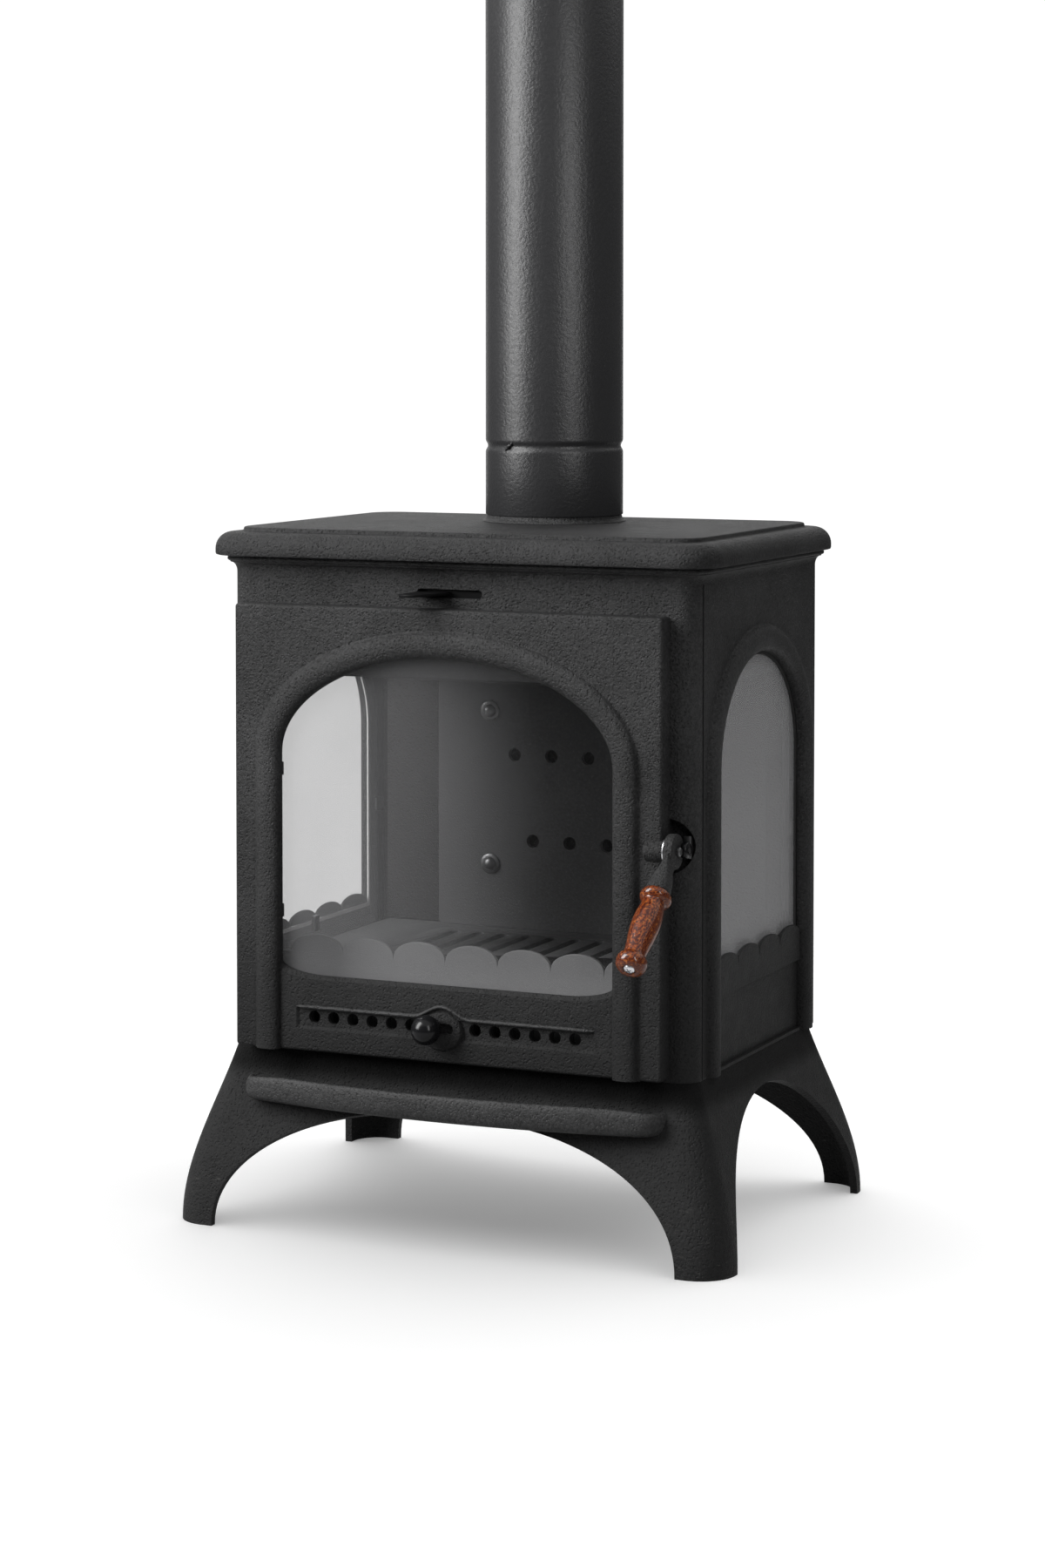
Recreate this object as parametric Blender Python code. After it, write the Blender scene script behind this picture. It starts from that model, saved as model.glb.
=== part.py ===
"""Cast iron wood stove with an arched door window, two side windows and a flue pipe.

Lengths are in metres and +Z is up. The stove is modelled with x = 0 on its middle, y = 0 on the
front face of its body with +Y to the rear, and z = 0 on the floor. At the end the whole stove is
set so that the middle of its footprint is the origin.
"""

import math

import bmesh
import bpy
from mathutils import Matrix, Vector

# Body
BODY_WIDTH = 0.458
BODY_DEPTH = 0.310
BODY_CORNER = 0.018
BODY_TOP = 0.613
BASE_TOP = 0.161
WALL = 0.006
FRONT_RETURN = 0.0195
CORNICE_DROP = 0.015
CORNICE_REACH = 0.009
SEAT = 0.0003
HALF = BODY_WIDTH / 2
CASTING_LOW = BASE_TOP + SEAT
CASTING_TOP = BODY_TOP - SEAT

# Base with its legs and ash lip
LEG_FLARE = 0.043
FOOT_CORNER = 0.034
BASE_WALL = 0.007
BASE_LEDGE = 0.030
BASE_LEDGE_THICKNESS = 0.007
FRONT_ARCH_HALF = HALF - 0.006
FRONT_ARCH_RISE = BASE_TOP - 0.044
FRONT_ARCH_POWER = 2.15
SIDE_ARCH_HALF = BODY_DEPTH / 2 + 0.005
SIDE_ARCH_RISE = BASE_TOP - 0.027
SIDE_ARCH_POWER = 1.9
LIP_HALF = HALF - 0.020
LIP_END_REACH = 0.028
LIP_REACH = 0.050
LIP_CURL = 0.016
LIP_ROOT = 0.004
LIP_LOW = BASE_TOP - 0.044
LIP_HEIGHT = 0.024
LIP_RIM = 0.0075
LIP_CHANNEL_DEPTH = 0.0065
LIP_CHANNEL_BACK = 0.0092

# Top plate, collar and flue pipe
TOP_OVERHANG = 0.020
TOP_THICKNESS = 0.0215
TOP_CORNER = 0.038
TOP_SHELL = 0.009
TOP_RECESS_INSET = 0.030
PANEL_INSET = 0.022
PANEL_HEIGHT = 0.004
PANEL_CORNER = 0.028
PIPE_RADIUS = 0.065
PIPE_WALL = 0.0015
PIPE_LENGTH = 0.488
PIPE_Y = BODY_DEPTH - 0.091
PIPE_BEAD_UP = 0.065
PIPE_BEAD_DEPTH = 0.0022
COLLAR_SEAT_DEPTH = 0.0008
COLLAR_SHOULDER = 0.0068
COLLAR_SPIGOT = 0.048
COLLAR_WALL = 0.005
COLLAR_FOOT_HEIGHT = 0.0043
COLLAR_FOOT_OUT = 0.0035
TOP_LOW = BODY_TOP
TOP_RIM = TOP_LOW + TOP_THICKNESS
TOP_PANEL = TOP_RIM + PANEL_HEIGHT
COLLAR_BASE = TOP_PANEL - COLLAR_SEAT_DEPTH + SEAT
PIPE_LOW = COLLAR_BASE + COLLAR_SHOULDER + SEAT
PIPE_HIGH = PIPE_LOW + PIPE_LENGTH

# Door
DOOR_LEFT_MARGIN = 0.015
DOOR_RIGHT_MARGIN = 0.023
DOOR_WIDTH = BODY_WIDTH - DOOR_LEFT_MARGIN - DOOR_RIGHT_MARGIN
DOOR_X = (DOOR_LEFT_MARGIN - DOOR_RIGHT_MARGIN) / 2
DOOR_LOW = BASE_TOP + 0.0035
DOOR_HEIGHT = BODY_TOP - BASE_TOP - 0.046
DOOR_DEPTH = 0.0194
DOOR_BACK = 0.0006
DOOR_SKIN = 0.006
DOOR_FLANGE = 0.005
DOOR_EDGE = 0.003
DOOR_LEFT = DOOR_X - DOOR_WIDTH / 2
DOOR_RIGHT = DOOR_X + DOOR_WIDTH / 2
DOOR_TOP = DOOR_LOW + DOOR_HEIGHT
DOOR_FRONT = -DOOR_BACK - DOOR_DEPTH
SKIN_BACK = DOOR_FRONT + DOOR_SKIN
WINDOW_HALF = DOOR_WIDTH / 2 - 0.046
WINDOW_LOW = BASE_TOP + 0.073
WINDOW_SPRING = BODY_TOP - 0.177
WINDOW_RISE = 0.091
WINDOW_CORNER_WIDE = 0.046
WINDOW_CORNER_HIGH = 0.013
ROLL_WIDTH = 0.024
ROLL_HEIGHT = 0.007
GLASS_THICKNESS = 0.004
GLASS_LAP = 0.009
OPENING_HALF = DOOR_WIDTH / 2 - 0.034
OPENING_LOW = DOOR_LOW + 0.0195
OPENING_HIGH = DOOR_TOP - 0.0185
GASKET_RADIUS = 0.0046
GASKET_OUTSET = 0.009
GLASS_CLIP_LOW = WINDOW_LOW + 0.056
GLASS_CLIP_HIGH = WINDOW_SPRING - 0.016
CLIP_WIDTH = 0.012

# Door hinge
HINGE_INSET = 0.0090
HINGE_BACK = 0.0095
HINGE_COLUMN = 0.0192
HINGE_PIN_RADIUS = 0.0025
HINGE_PIN_HALF = 0.0195
HINGE_LUG_RADIUS = 0.0065
HINGE_LUG_HEIGHT = 0.014
HINGE_FROM_END = 0.058
PIN_CLEARANCE = 0.00025
HINGE_X = DOOR_LEFT + HINGE_INSET
HINGE_Y = -DOOR_BACK - HINGE_BACK

# Primary air slide in the door
AIR_HOLES = 6
AIR_X = DOOR_X - 0.001
AIR_Z = DOOR_LOW + 0.0317
AIR_PITCH = (DOOR_WIDTH - 0.226) / 10
AIR_RADIUS = 0.0057
AIR_GROUP_GAP = 0.0635
AIR_SLIDE_HOLE_HALF = AIR_PITCH / 2 - AIR_RADIUS - 0.0001
AIR_STRIP_HALF = DOOR_WIDTH / 2 - 0.065
AIR_STRIP_HIGH = AIR_Z + 0.0078
AIR_STRIP_LOW = AIR_Z - 0.0102
AIR_STRIP_RECESS = 0.0015
AIR_SLIDE_THICKNESS = 0.002
AIR_SLIDE_HEIGHT = 0.020
AIR_SLIDE_HALF = AIR_STRIP_HALF + 0.007
KNOB_BOSS_HALF = 0.0195
KNOB_BOSS_HIGH = 0.0170
KNOB_X = -0.014
KNOB_RADIUS = 0.0125
KNOB_OUT = 0.0145
KNOB_STEM = 0.004
KNOB_SLOT = 0.0165
BROW_THICKNESS = 0.0028
BROW_RISE = 0.0105
BROW_LAP = 0.0004
BROW_PAST_STRIP = 0.003

# Upper air slide in the frame
SLOT_LEFT = -0.039
SLOT_RIGHT = 0.0257
SLOT_Z = BODY_TOP - 0.0293
SLOT_HEIGHT = 0.0078
TAB_WIDTH = 0.0165
TAB_ROOT = 0.030
TAB_OUT = 0.041
TAB_THICKNESS = 0.0025
UPPER_SLIDE_LEFT = -0.1135
UPPER_SLIDE_RIGHT = 0.0465
UPPER_SLIDE_HEIGHT = 0.018
UPPER_GUIDE_LEFT = -0.118
UPPER_GUIDE_RIGHT = 0.105

# Door handle and latch
PIVOT_Y = -0.016
PIVOT_Z = DOOR_LOW + DOOR_HEIGHT / 2
PIVOT_RADIUS = 0.003
BOSS_LENGTH = 0.0145
BOSS_RADIUS = 0.010
BOSS_PAST_DOOR = 0.0022
WASHER_THICKNESS = 0.0022
WASHER_RADIUS = 0.0085
HUB_RADIUS = 0.0155
HUB_THICKNESS = 0.0085
HUB_X = DOOR_RIGHT + BOSS_PAST_DOOR + SEAT + WASHER_THICKNESS + SEAT
HANDLE_DROP = math.radians(41)
GRIP_START = 0.041
GRIP_LENGTH = 0.091
GRIP_RADIUS = 0.0140
TANG_RADIUS = 0.004
ROLLER_CRANK = 0.012
ROLLER_RADIUS = 0.0072
ROLLER_LENGTH = 0.0055
ROLLER_PIN = 0.0026
POCKET_HALF = 0.0206
POCKET_RADIUS = 0.024
POCKET_DEPTH = 0.013
POCKET_RISE = 0.002
POCKET_WALL = 0.005

# Side windows
SIDE_WINDOW_Y = BODY_DEPTH / 2 + 0.009
SIDE_WINDOW_HALF = BODY_DEPTH / 2 - 0.046
SIDE_WINDOW_LOW = BASE_TOP + 0.079
SIDE_WINDOW_SPRING = BODY_TOP - 0.183
SIDE_WINDOW_RISE = 0.0975
SIDE_PANEL_RECESS = 0.002
SIDE_GUARD_LOW = SIDE_WINDOW_LOW - 0.012
SIDE_GUARD_THICKNESS = 0.003
SIDE_GUARD_PEAK = SIDE_WINDOW_LOW + 0.024
SIDE_SCALLOPS = 4
SIDE_CLIP_Z = SIDE_WINDOW_LOW + 0.110

# Rear plate
REAR_BORDER = 0.028
REAR_RIB = 0.006
REAR_SLOTS = 5
REAR_SLOT_PITCH = BODY_WIDTH * 0.0742
REAR_SLOT_HALF = REAR_SLOT_PITCH * 0.382
REAR_SLOT_LOW = CASTING_LOW + 0.0147
REAR_SLOT_HEIGHT = 0.008

# Firebox
HEARTH_THICKNESS = 0.008
RUNNER_X = HALF - 0.109
RUNNER_WIDTH = 0.012
BED_TOP = BASE_TOP + 0.079
BED_THICKNESS = 0.008
BED_HALF = HALF - 0.031
BED_FRONT = 0.036
BED_LEG = 0.006
BED_LEG_X = HALF - 0.057
GRATE_HALF_X = HALF - 0.103
GRATE_HALF_Y = BODY_DEPTH / 2 - 0.081
GRATE_Y = BODY_DEPTH / 2 + 0.003
GRATE_LEDGE = 0.006
GRATE_SLOTS = 9
GRATE_SLOT_WIDTH = 0.010
ASH_PAN_HALF = HALF - 0.079
ASH_PAN_HEIGHT = 0.038
ASH_PAN_WALL = 0.0015
GUARD_Y = 0.040
GUARD_THICKNESS = 0.005
GUARD_SCALLOPS = 7
GUARD_PITCH = (BODY_WIDTH - 0.0657) / (GUARD_SCALLOPS + 0.5)
GUARD_HEIGHT = 0.022
GUARD_SCALLOP = 0.017
LINER_Y = BODY_DEPTH - 0.048
LINER_THICKNESS = 0.005
BAFFLE_THICKNESS = 0.008
BAFFLE_FRONT = 0.080
BAFFLE_TOP = BODY_TOP - 0.108
FIREBACK_HALF = HALF - 0.090
FIREBACK_THICKNESS = 0.006
FIREBACK_HIGH = BAFFLE_TOP - 0.015
FIREBACK_HOLE = 0.005
FIREBACK_HOLE_PITCH = FIREBACK_HALF * 0.277
FIREBACK_ROWS = ((6, FIREBACK_HIGH - 0.081), (7, BED_TOP + 0.086))
FIREBACK_BOLT_X = FIREBACK_HALF * 0.6
FIREBACK_BOLTS = (("lower", BED_TOP + 0.062), ("upper", FIREBACK_HIGH - 0.039))
DEFLECTOR_THICKNESS = 0.003
DEFLECTOR_LOW = BODY_TOP - 0.109
DEFLECTOR_HIGH = BODY_TOP - 0.047
DEFLECTOR_OUT = 0.034
TIE_X = HALF - 0.022
TIE_FRONT_Y = 0.028
TIE_REAR_Y = BODY_DEPTH - 0.019
TIE_RADIUS = 0.003
TIE_HEAD_RADIUS = 0.0058
BED_LOW = BED_TOP - BED_THICKNESS
HEARTH_LOW = BASE_TOP + SEAT
HEARTH_TOP = HEARTH_LOW + HEARTH_THICKNESS

MATERIALS = {
    "cast_iron": ((0.020, 0.020, 0.021, 1.0), 0.62, 0.35),
    "flue_steel": ((0.017, 0.017, 0.018, 1.0), 0.50, 0.35),
    "steel": ((0.10, 0.10, 0.10, 1.0), 0.40, 0.9),
    "black_gloss": ((0.006, 0.006, 0.006, 1.0), 0.12, 0.0),
    "wood": ((0.30, 0.065, 0.022, 1.0), 0.25, 0.0),
    "glass": ((0.42, 0.43, 0.44, 0.35), 0.05, 0.0),
    "rope": ((0.30, 0.29, 0.27, 1.0), 0.95, 0.0),
    "liner_iron": ((0.030, 0.030, 0.031, 1.0), 0.75, 0.2),
    "zinc": ((0.55, 0.55, 0.56, 1.0), 0.30, 1.0),
}


def clear_scene():
    for obj in list(bpy.data.objects):
        bpy.data.objects.remove(obj, do_unlink=True)


def material(name):
    found = bpy.data.materials.get(name)
    if found:
        return found
    color, roughness, metallic = MATERIALS[name.rsplit("-", 1)[-1]]
    made = bpy.data.materials.new(name)
    made.use_nodes = True
    shader = made.node_tree.nodes["Principled BSDF"]
    shader.inputs["Base Color"].default_value = color
    shader.inputs["Roughness"].default_value = roughness
    shader.inputs["Metallic"].default_value = metallic
    made.diffuse_color = color
    return made


ORIGIN = None


def add_object(name, bm, finish, pivot=(0, 0, 0)):
    """Makes an object of a bmesh given in stove coordinates, with its origin at pivot."""
    bmesh.ops.recalc_face_normals(bm, faces=bm.faces)
    bmesh.ops.translate(bm, verts=bm.verts, vec=-Vector(pivot))
    mesh = bpy.data.meshes.new(name)
    bm.to_mesh(mesh)
    bm.free()
    mesh.shade_smooth()
    mesh.set_sharp_from_angle(angle=math.radians(35))
    obj = bpy.data.objects.new(name, mesh)
    obj.location = pivot
    obj.parent = ORIGIN
    mesh.materials.append(material(name + "-" + finish))
    bpy.context.scene.collection.objects.link(obj)
    return obj


def add_cutter(bm, like):
    """Makes a hidden cutter in the frame of the object it cuts."""
    bmesh.ops.recalc_face_normals(bm, faces=bm.faces)
    bmesh.ops.translate(bm, verts=bm.verts, vec=-like.location)
    mesh = bpy.data.meshes.new("cutter")
    bm.to_mesh(mesh)
    bm.free()
    cutter = bpy.data.objects.new("cutter", mesh)
    cutter.parent = like
    cutter.hide_render = True
    cutter.display_type = "WIRE"
    bpy.context.scene.collection.objects.link(cutter)
    return cutter


def boolean(obj, bm, operation="DIFFERENCE"):
    modifier = obj.modifiers.new(operation.lower(), "BOOLEAN")
    modifier.operation = operation
    modifier.object = add_cutter(bm, obj)


def circle(radius, steps, middle=(0.0, 0.0), start=0.0):
    turn = 2 * math.pi / steps
    return [
        (middle[0] + radius * math.cos(start + turn * k), middle[1] + radius * math.sin(start + turn * k))
        for k in range(steps)
    ]


def rounded_rectangle(u0, v0, u1, v1, radius, steps=4):
    """Counter-clockwise outline with steps + 1 points on each rounded corner."""
    corners = [(u1 - radius, v1 - radius, 0), (u0 + radius, v1 - radius, 1)]
    corners += [(u0 + radius, v0 + radius, 2), (u1 - radius, v0 + radius, 3)]
    points = []
    for u, v, quarter in corners:
        for k in range(steps + 1):
            angle = math.pi / 2 * (quarter + k / steps)
            points.append((u + radius * math.cos(angle), v + radius * math.sin(angle)))
    return points


def rectangle(u0, v0, u1, v1):
    return [(u0, v0), (u1, v0), (u1, v1), (u0, v1)]


def arch_top(middle, half, spring, rise, steps):
    """The points of a half ellipse from its right foot over the top to its left foot."""
    return [
        (middle + half * math.cos(math.pi * k / steps), spring + rise * math.sin(math.pi * k / steps))
        for k in range(steps + 1)
    ]


def arch_outline(middle, half, low, spring, rise, corner=(0.0, 0.0), steps=20):
    """An arched opening. Its lower corners are quarter ellipses of the width and height in corner."""
    points = arch_top(middle, half, spring, rise, steps)
    wide, high = corner
    if not wide:
        return points + [(middle - half, low), (middle + half, low)]
    for quarter, u in ((2, middle - half + wide), (3, middle + half - wide)):
        for k in range(7):
            angle = math.pi / 2 * (quarter + k / 6)
            points.append((u + wide * math.cos(angle), low + high + high * math.sin(angle)))
    return points


def power_arch(half, rise, power, steps, floor):
    """A squared-off half ellipse that stands on z = 0, run on down to floor."""
    points = [(half, floor)]
    for k in range(steps + 1):
        angle = math.pi * k / steps
        side = math.copysign(abs(math.cos(angle)) ** (2 / power), math.cos(angle))
        points.append((half * side, rise * math.sin(angle) ** (2 / power)))
    points.append((-half, floor))
    return points


AXES = {"X": (1, 2, 0), "Y": (0, 2, 1), "Z": (0, 1, 2)}


def place(u, v, w, axis):
    """The point with plane coordinates u, v and height w along axis."""
    point = [0.0, 0.0, 0.0]
    for value, index in zip((u, v, w), AXES[axis]):
        point[index] = value
    return Vector(point)


def prism(axis, low, high, outline, holes=()):
    """An outline with holes, extruded along axis from low to high."""
    bm = bmesh.new()
    for loop in (outline, *holes):
        verts = [bm.verts.new(place(u, v, low, axis)) for u, v in loop]
        for k, vert in enumerate(verts):
            bm.edges.new((verts[k - 1], vert))
    bmesh.ops.triangle_fill(bm, use_beauty=True, use_dissolve=False, edges=bm.edges)
    extruded = bmesh.ops.extrude_face_region(bm, geom=bm.faces[:])
    moved = [item for item in extruded["geom"] if isinstance(item, bmesh.types.BMVert)]
    bmesh.ops.translate(bm, verts=moved, vec=place(0, 0, high - low, axis))
    bmesh.ops.recalc_face_normals(bm, faces=bm.faces)
    return bm


def box(x0, y0, z0, x1, y1, z1):
    return prism("Z", z0, z1, rectangle(x0, y0, x1, y1))


def loft(rings, closed=False):
    """Skins closed rings of the same count. The ends are capped, or joined where closed is set."""
    bm = bmesh.new()
    loops = [[bm.verts.new(point) for point in ring] for ring in rings]
    pairs = list(zip(loops, loops[1:]))
    if closed:
        pairs.append((loops[-1], loops[0]))
    for one, two in pairs:
        for k in range(len(one)):
            bm.faces.new((one[k - 1], one[k], two[k], two[k - 1]))
    if not closed:
        for loop in (loops[0], loops[-1]):
            rim = [bm.edges.get((loop[k - 1], loop[k])) for k in range(len(loop))]
            bmesh.ops.triangle_fill(bm, use_beauty=True, edges=rim)
    bmesh.ops.recalc_face_normals(bm, faces=bm.faces)
    return bm


def turned(profile, middle, axis="Z", steps=24, closed=False):
    """Spins a profile of (radius, height) pairs about an axis through middle.

    A profile that starts and ends on the axis makes a solid. A closed one makes a ring.
    """
    bm = bmesh.new()
    verts = [bm.verts.new((radius, 0, height)) for radius, height in profile]
    edges = [bm.edges.new(pair) for pair in zip(verts, verts[1:])]
    if closed:
        edges.append(bm.edges.new((verts[-1], verts[0])))
    bmesh.ops.spin(
        bm, geom=verts + edges, axis=(0, 0, 1), cent=(0, 0, 0), steps=steps, angle=2 * math.pi, use_merge=True
    )
    bmesh.ops.remove_doubles(bm, verts=bm.verts, dist=1e-6)
    turn = {"Z": Matrix.Identity(3), "X": Matrix.Rotation(math.pi / 2, 3, "Y")}
    turn["Y"] = Matrix.Rotation(-math.pi / 2, 3, "X")
    bmesh.ops.rotate(bm, verts=bm.verts, matrix=turn[axis], cent=(0, 0, 0))
    bmesh.ops.translate(bm, verts=bm.verts, vec=middle)
    bmesh.ops.recalc_face_normals(bm, faces=bm.faces)
    return bm


def cylinder(radius, low, high, middle, axis="Z", steps=16, bore=0.0):
    """A round bar, or a ring where bore is set, from low to high along axis."""
    if bore:
        profile = [(bore, low), (radius, low), (radius, high), (bore, high)]
        return turned(profile, middle, axis, steps, closed=True)
    return turned([(0, low), (radius, low), (radius, high), (0, high)], middle, axis, steps)


def leg_flare(z):
    """How far the base stands out of the body at height z: an ogee, steepest half way down."""
    down = (BASE_TOP - z) / BASE_TOP
    ease = 0.7 * math.sin(math.pi / 2 * down) + 0.3 * (3 * down**2 - 2 * down**3)
    return LEG_FLARE * ease


def base_ring(z, inward):
    """The plan of the base at height z, moved in by a wall."""
    out = leg_flare(z) - inward
    corner = BODY_CORNER + (FOOT_CORNER - BODY_CORNER) * leg_flare(z) / LEG_FLARE - inward
    plan = rounded_rectangle(-HALF - out, -out, HALF + out, BODY_DEPTH + out, max(corner, 0.002), 5)
    return [Vector((x, y, z)) for x, y in plan]


def lip_outline(inset=0.0):
    """The bowed plan of the ash lip with its curled ends, moved in by inset. Its back is straight."""
    steps = 14
    half = LIP_HALF - inset
    points = [(-half, -LIP_ROOT)]
    for k in range(steps + 1):
        x = half * math.sin(math.pi / 2 * (2 * k / steps - 1))
        reach = LIP_END_REACH + (LIP_REACH - LIP_END_REACH) * (1 - (x / half) ** 2) - inset
        curl = min(1.0, max(0.0, abs(x) - (half - LIP_CURL)) / LIP_CURL)
        turned_in = (reach - LIP_CHANNEL_BACK) * (1 - math.sqrt(1 - curl**2))
        points.append((x, turned_in - reach))
    points.append((half, -LIP_ROOT))
    return points


def lip_bmesh():
    """The ash lip: a bar with a rounded front edge."""
    shape = ((0.0040, 0.0), (0.0005, 0.005), (0.0, 0.012), (0.0006, 0.020), (0.0040, LIP_HEIGHT))
    return loft([[Vector((x, y, LIP_LOW + z)) for x, y in lip_outline(inset)] for inset, z in shape])


def make_leg_base():
    levels = 10
    heights = [BASE_TOP * k / levels for k in range(levels + 1)]
    outer = [base_ring(z, 0.0) for z in reversed(heights)]
    inner = [base_ring(z, BASE_WALL) for z in heights]
    inner[-1] = [Vector((p.x, p.y, BASE_TOP)) for p in inner[-1]]
    obj = add_object("leg_base", loft(outer + inner, closed=True), "cast_iron")
    ledge_out = BASE_WALL / 2
    ledge = prism(
        "Z",
        BASE_TOP - BASE_LEDGE_THICKNESS,
        BASE_TOP,
        rectangle(-HALF + ledge_out, ledge_out, HALF - ledge_out, BODY_DEPTH - ledge_out),
        [rectangle(-HALF + BASE_LEDGE, BASE_LEDGE, HALF - BASE_LEDGE, BODY_DEPTH - BASE_LEDGE)],
    )
    boolean(obj, ledge, "UNION")
    boolean(obj, lip_bmesh(), "UNION")
    lip_top = LIP_LOW + LIP_HEIGHT
    boolean(obj, prism("Z", lip_top - LIP_CHANNEL_DEPTH, lip_top + 0.002, lip_outline(LIP_RIM)[1:-1]))
    under = 0.05
    front_arch = power_arch(FRONT_ARCH_HALF, FRONT_ARCH_RISE, FRONT_ARCH_POWER, 24, -under)
    boolean(obj, prism("Y", -LEG_FLARE - under, BODY_DEPTH + LEG_FLARE + under, front_arch))
    side_arch = power_arch(SIDE_ARCH_HALF, SIDE_ARCH_RISE, SIDE_ARCH_POWER, 20, -under)
    side_arch = [(y + BODY_DEPTH / 2, z) for y, z in side_arch]
    reach = HALF + LEG_FLARE + under
    boolean(obj, prism("X", -reach, reach, side_arch))
    clear = TIE_RADIUS + SEAT
    for x, y in tie_places():
        boolean(obj, cylinder(clear, BASE_TOP - 0.02, BASE_TOP + 0.01, (x, y, 0), steps=12))
    return obj


def tie_places():
    return [(x, y) for x in (-TIE_X, TIE_X) for y in (TIE_FRONT_Y, TIE_REAR_Y)]


def front_line(inset):
    """Plan of the body's front, moved in by inset, from the left return round to the right one."""
    side = HALF - inset
    radius = BODY_CORNER - inset
    points = []
    for sign, order in ((-1, range(6)), (1, range(5, -1, -1))):
        for k in order:
            angle = math.pi / 2 * k / 5
            x = sign * (side - radius + radius * math.cos(angle))
            points.append((x, BODY_CORNER - radius * math.sin(angle)))
    return [(-side, FRONT_RETURN)] + points + [(side, FRONT_RETURN)]


def front_band(outset, inset):
    """Closed plan of a band along the body's front."""
    return front_line(-outset) + list(reversed(front_line(inset)))


def wall_profile():
    """The wall's outer line as (reach, height) pairs: straight, then the cove and fillet on top."""
    steps = ((1.0, 0.0), (0.80, 0.06), (0.60, 0.18), (0.42, 0.38), (0.28, 0.66), (0.20, 1.0), (0.0, 1.0))
    cornice = [(CORNICE_REACH * reach, CASTING_TOP - CORNICE_DROP * drop) for drop, reach in steps]
    return [(0.0, CASTING_LOW)] + cornice


def make_front_frame():
    bands = [[Vector((x, y, z)) for x, y in front_band(out, WALL)] for out, z in wall_profile()]
    obj = add_object("front_frame", loft(bands), "cast_iron")
    pocket_z = PIVOT_Z + POCKET_RISE
    reach = POCKET_RADIUS + POCKET_WALL
    block_back = POCKET_DEPTH + POCKET_WALL
    block = prism(
        "Z",
        pocket_z - reach,
        pocket_z + reach,
        [(DOOR_RIGHT - 0.008, WALL / 2), (HALF - BODY_CORNER, WALL / 2), (HALF - WALL / 2, BODY_CORNER - WALL / 2)]
        + [(HALF - WALL / 2, block_back), (DOOR_RIGHT - 0.008, block_back)],
    )
    boolean(obj, block, "UNION")
    opening = rounded_rectangle(
        DOOR_X - OPENING_HALF, OPENING_LOW, DOOR_X + OPENING_HALF, OPENING_HIGH, 0.012, 3
    )
    boolean(obj, prism("Y", -0.01, WALL + 0.01, opening))
    half = SLOT_HEIGHT / 2
    slot = rounded_rectangle(SLOT_LEFT, SLOT_Z - half, SLOT_RIGHT, SLOT_Z + half, half * 0.99, 4)
    boolean(obj, prism("Y", -0.01, WALL + 0.01, slot))
    moon = [(DOOR_RIGHT - 0.003, pocket_z - POCKET_RADIUS)]
    moon += [
        (DOOR_RIGHT + POCKET_HALF * math.cos(a), pocket_z + POCKET_RADIUS * math.sin(a))
        for a in (math.pi * (k / 14 - 0.5) for k in range(15))
    ]
    moon += [(DOOR_RIGHT - 0.003, pocket_z + POCKET_RADIUS)]
    boolean(obj, prism("Y", -0.01, POCKET_DEPTH, moon))
    for z in hinge_heights():
        lug = lug_bmesh(z)
        boolean(obj, lug, "UNION")
    for z in hinge_heights():
        hole = HINGE_PIN_RADIUS + PIN_CLEARANCE
        boolean(obj, cylinder(hole, z - HINGE_LUG_HEIGHT, z + HINGE_LUG_HEIGHT, (HINGE_X, HINGE_Y, 0), steps=16))
    return obj


def hinge_heights():
    return (DOOR_LOW + HINGE_FROM_END, DOOR_TOP - HINGE_FROM_END)


def lug_bmesh(z):
    """A hinge eye on a short neck that grows out of the frame's front face."""
    neck = HINGE_LUG_RADIUS * 0.58
    start = math.asin(neck / HINGE_LUG_RADIUS)
    outline = [(HINGE_X + neck, WALL / 2), (HINGE_X - neck, WALL / 2)]
    for k in range(13):
        angle = math.pi / 2 + start + (2 * math.pi - 2 * start) * k / 12
        outline.append((HINGE_X + HINGE_LUG_RADIUS * math.cos(angle), HINGE_Y + HINGE_LUG_RADIUS * math.sin(angle)))
    half = HINGE_LUG_HEIGHT / 2
    return prism("Z", z - half, z + half, outline)


def side_window(grow=0.0, low=None):
    """The side window's outline in Y and Z, grown by an even border."""
    bottom = (SIDE_WINDOW_LOW if low is None else low) - grow
    return arch_outline(
        SIDE_WINDOW_Y, SIDE_WINDOW_HALF + grow, bottom, SIDE_WINDOW_SPRING, SIDE_WINDOW_RISE + grow, steps=18
    )


def roll_sections(middle, half, low, spring, rise, steps):
    """Half-round sections along a path that rises, goes over the arch and comes down again.

    Each section is a list of (u, v, out): plane coordinates and the height over the face.
    """
    path = [(middle + half, low, 1.0, 0.0)]
    for k in range(steps + 1):
        angle = math.pi * k / steps
        u, v = math.cos(angle), math.sin(angle)
        normal = Vector((u / half, v / rise)).normalized()
        path.append((middle + half * u, spring + rise * v, normal.x, normal.y))
    path.append((middle - half, low, -1.0, 0.0))
    sections = []
    for u, v, nu, nv in path:
        section = []
        for k in range(7):
            angle = math.pi * k / 6
            side = ROLL_WIDTH / 2 * math.cos(angle)
            section.append((u + nu * side, v + nv * side, ROLL_HEIGHT * math.sin(angle)))
        section.append((u - nu * ROLL_WIDTH / 2, v - nv * ROLL_WIDTH / 2, -WALL / 3))
        section.append((u + nu * ROLL_WIDTH / 2, v + nv * ROLL_WIDTH / 2, -WALL / 3))
        sections.append(section)
    return sections


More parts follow.
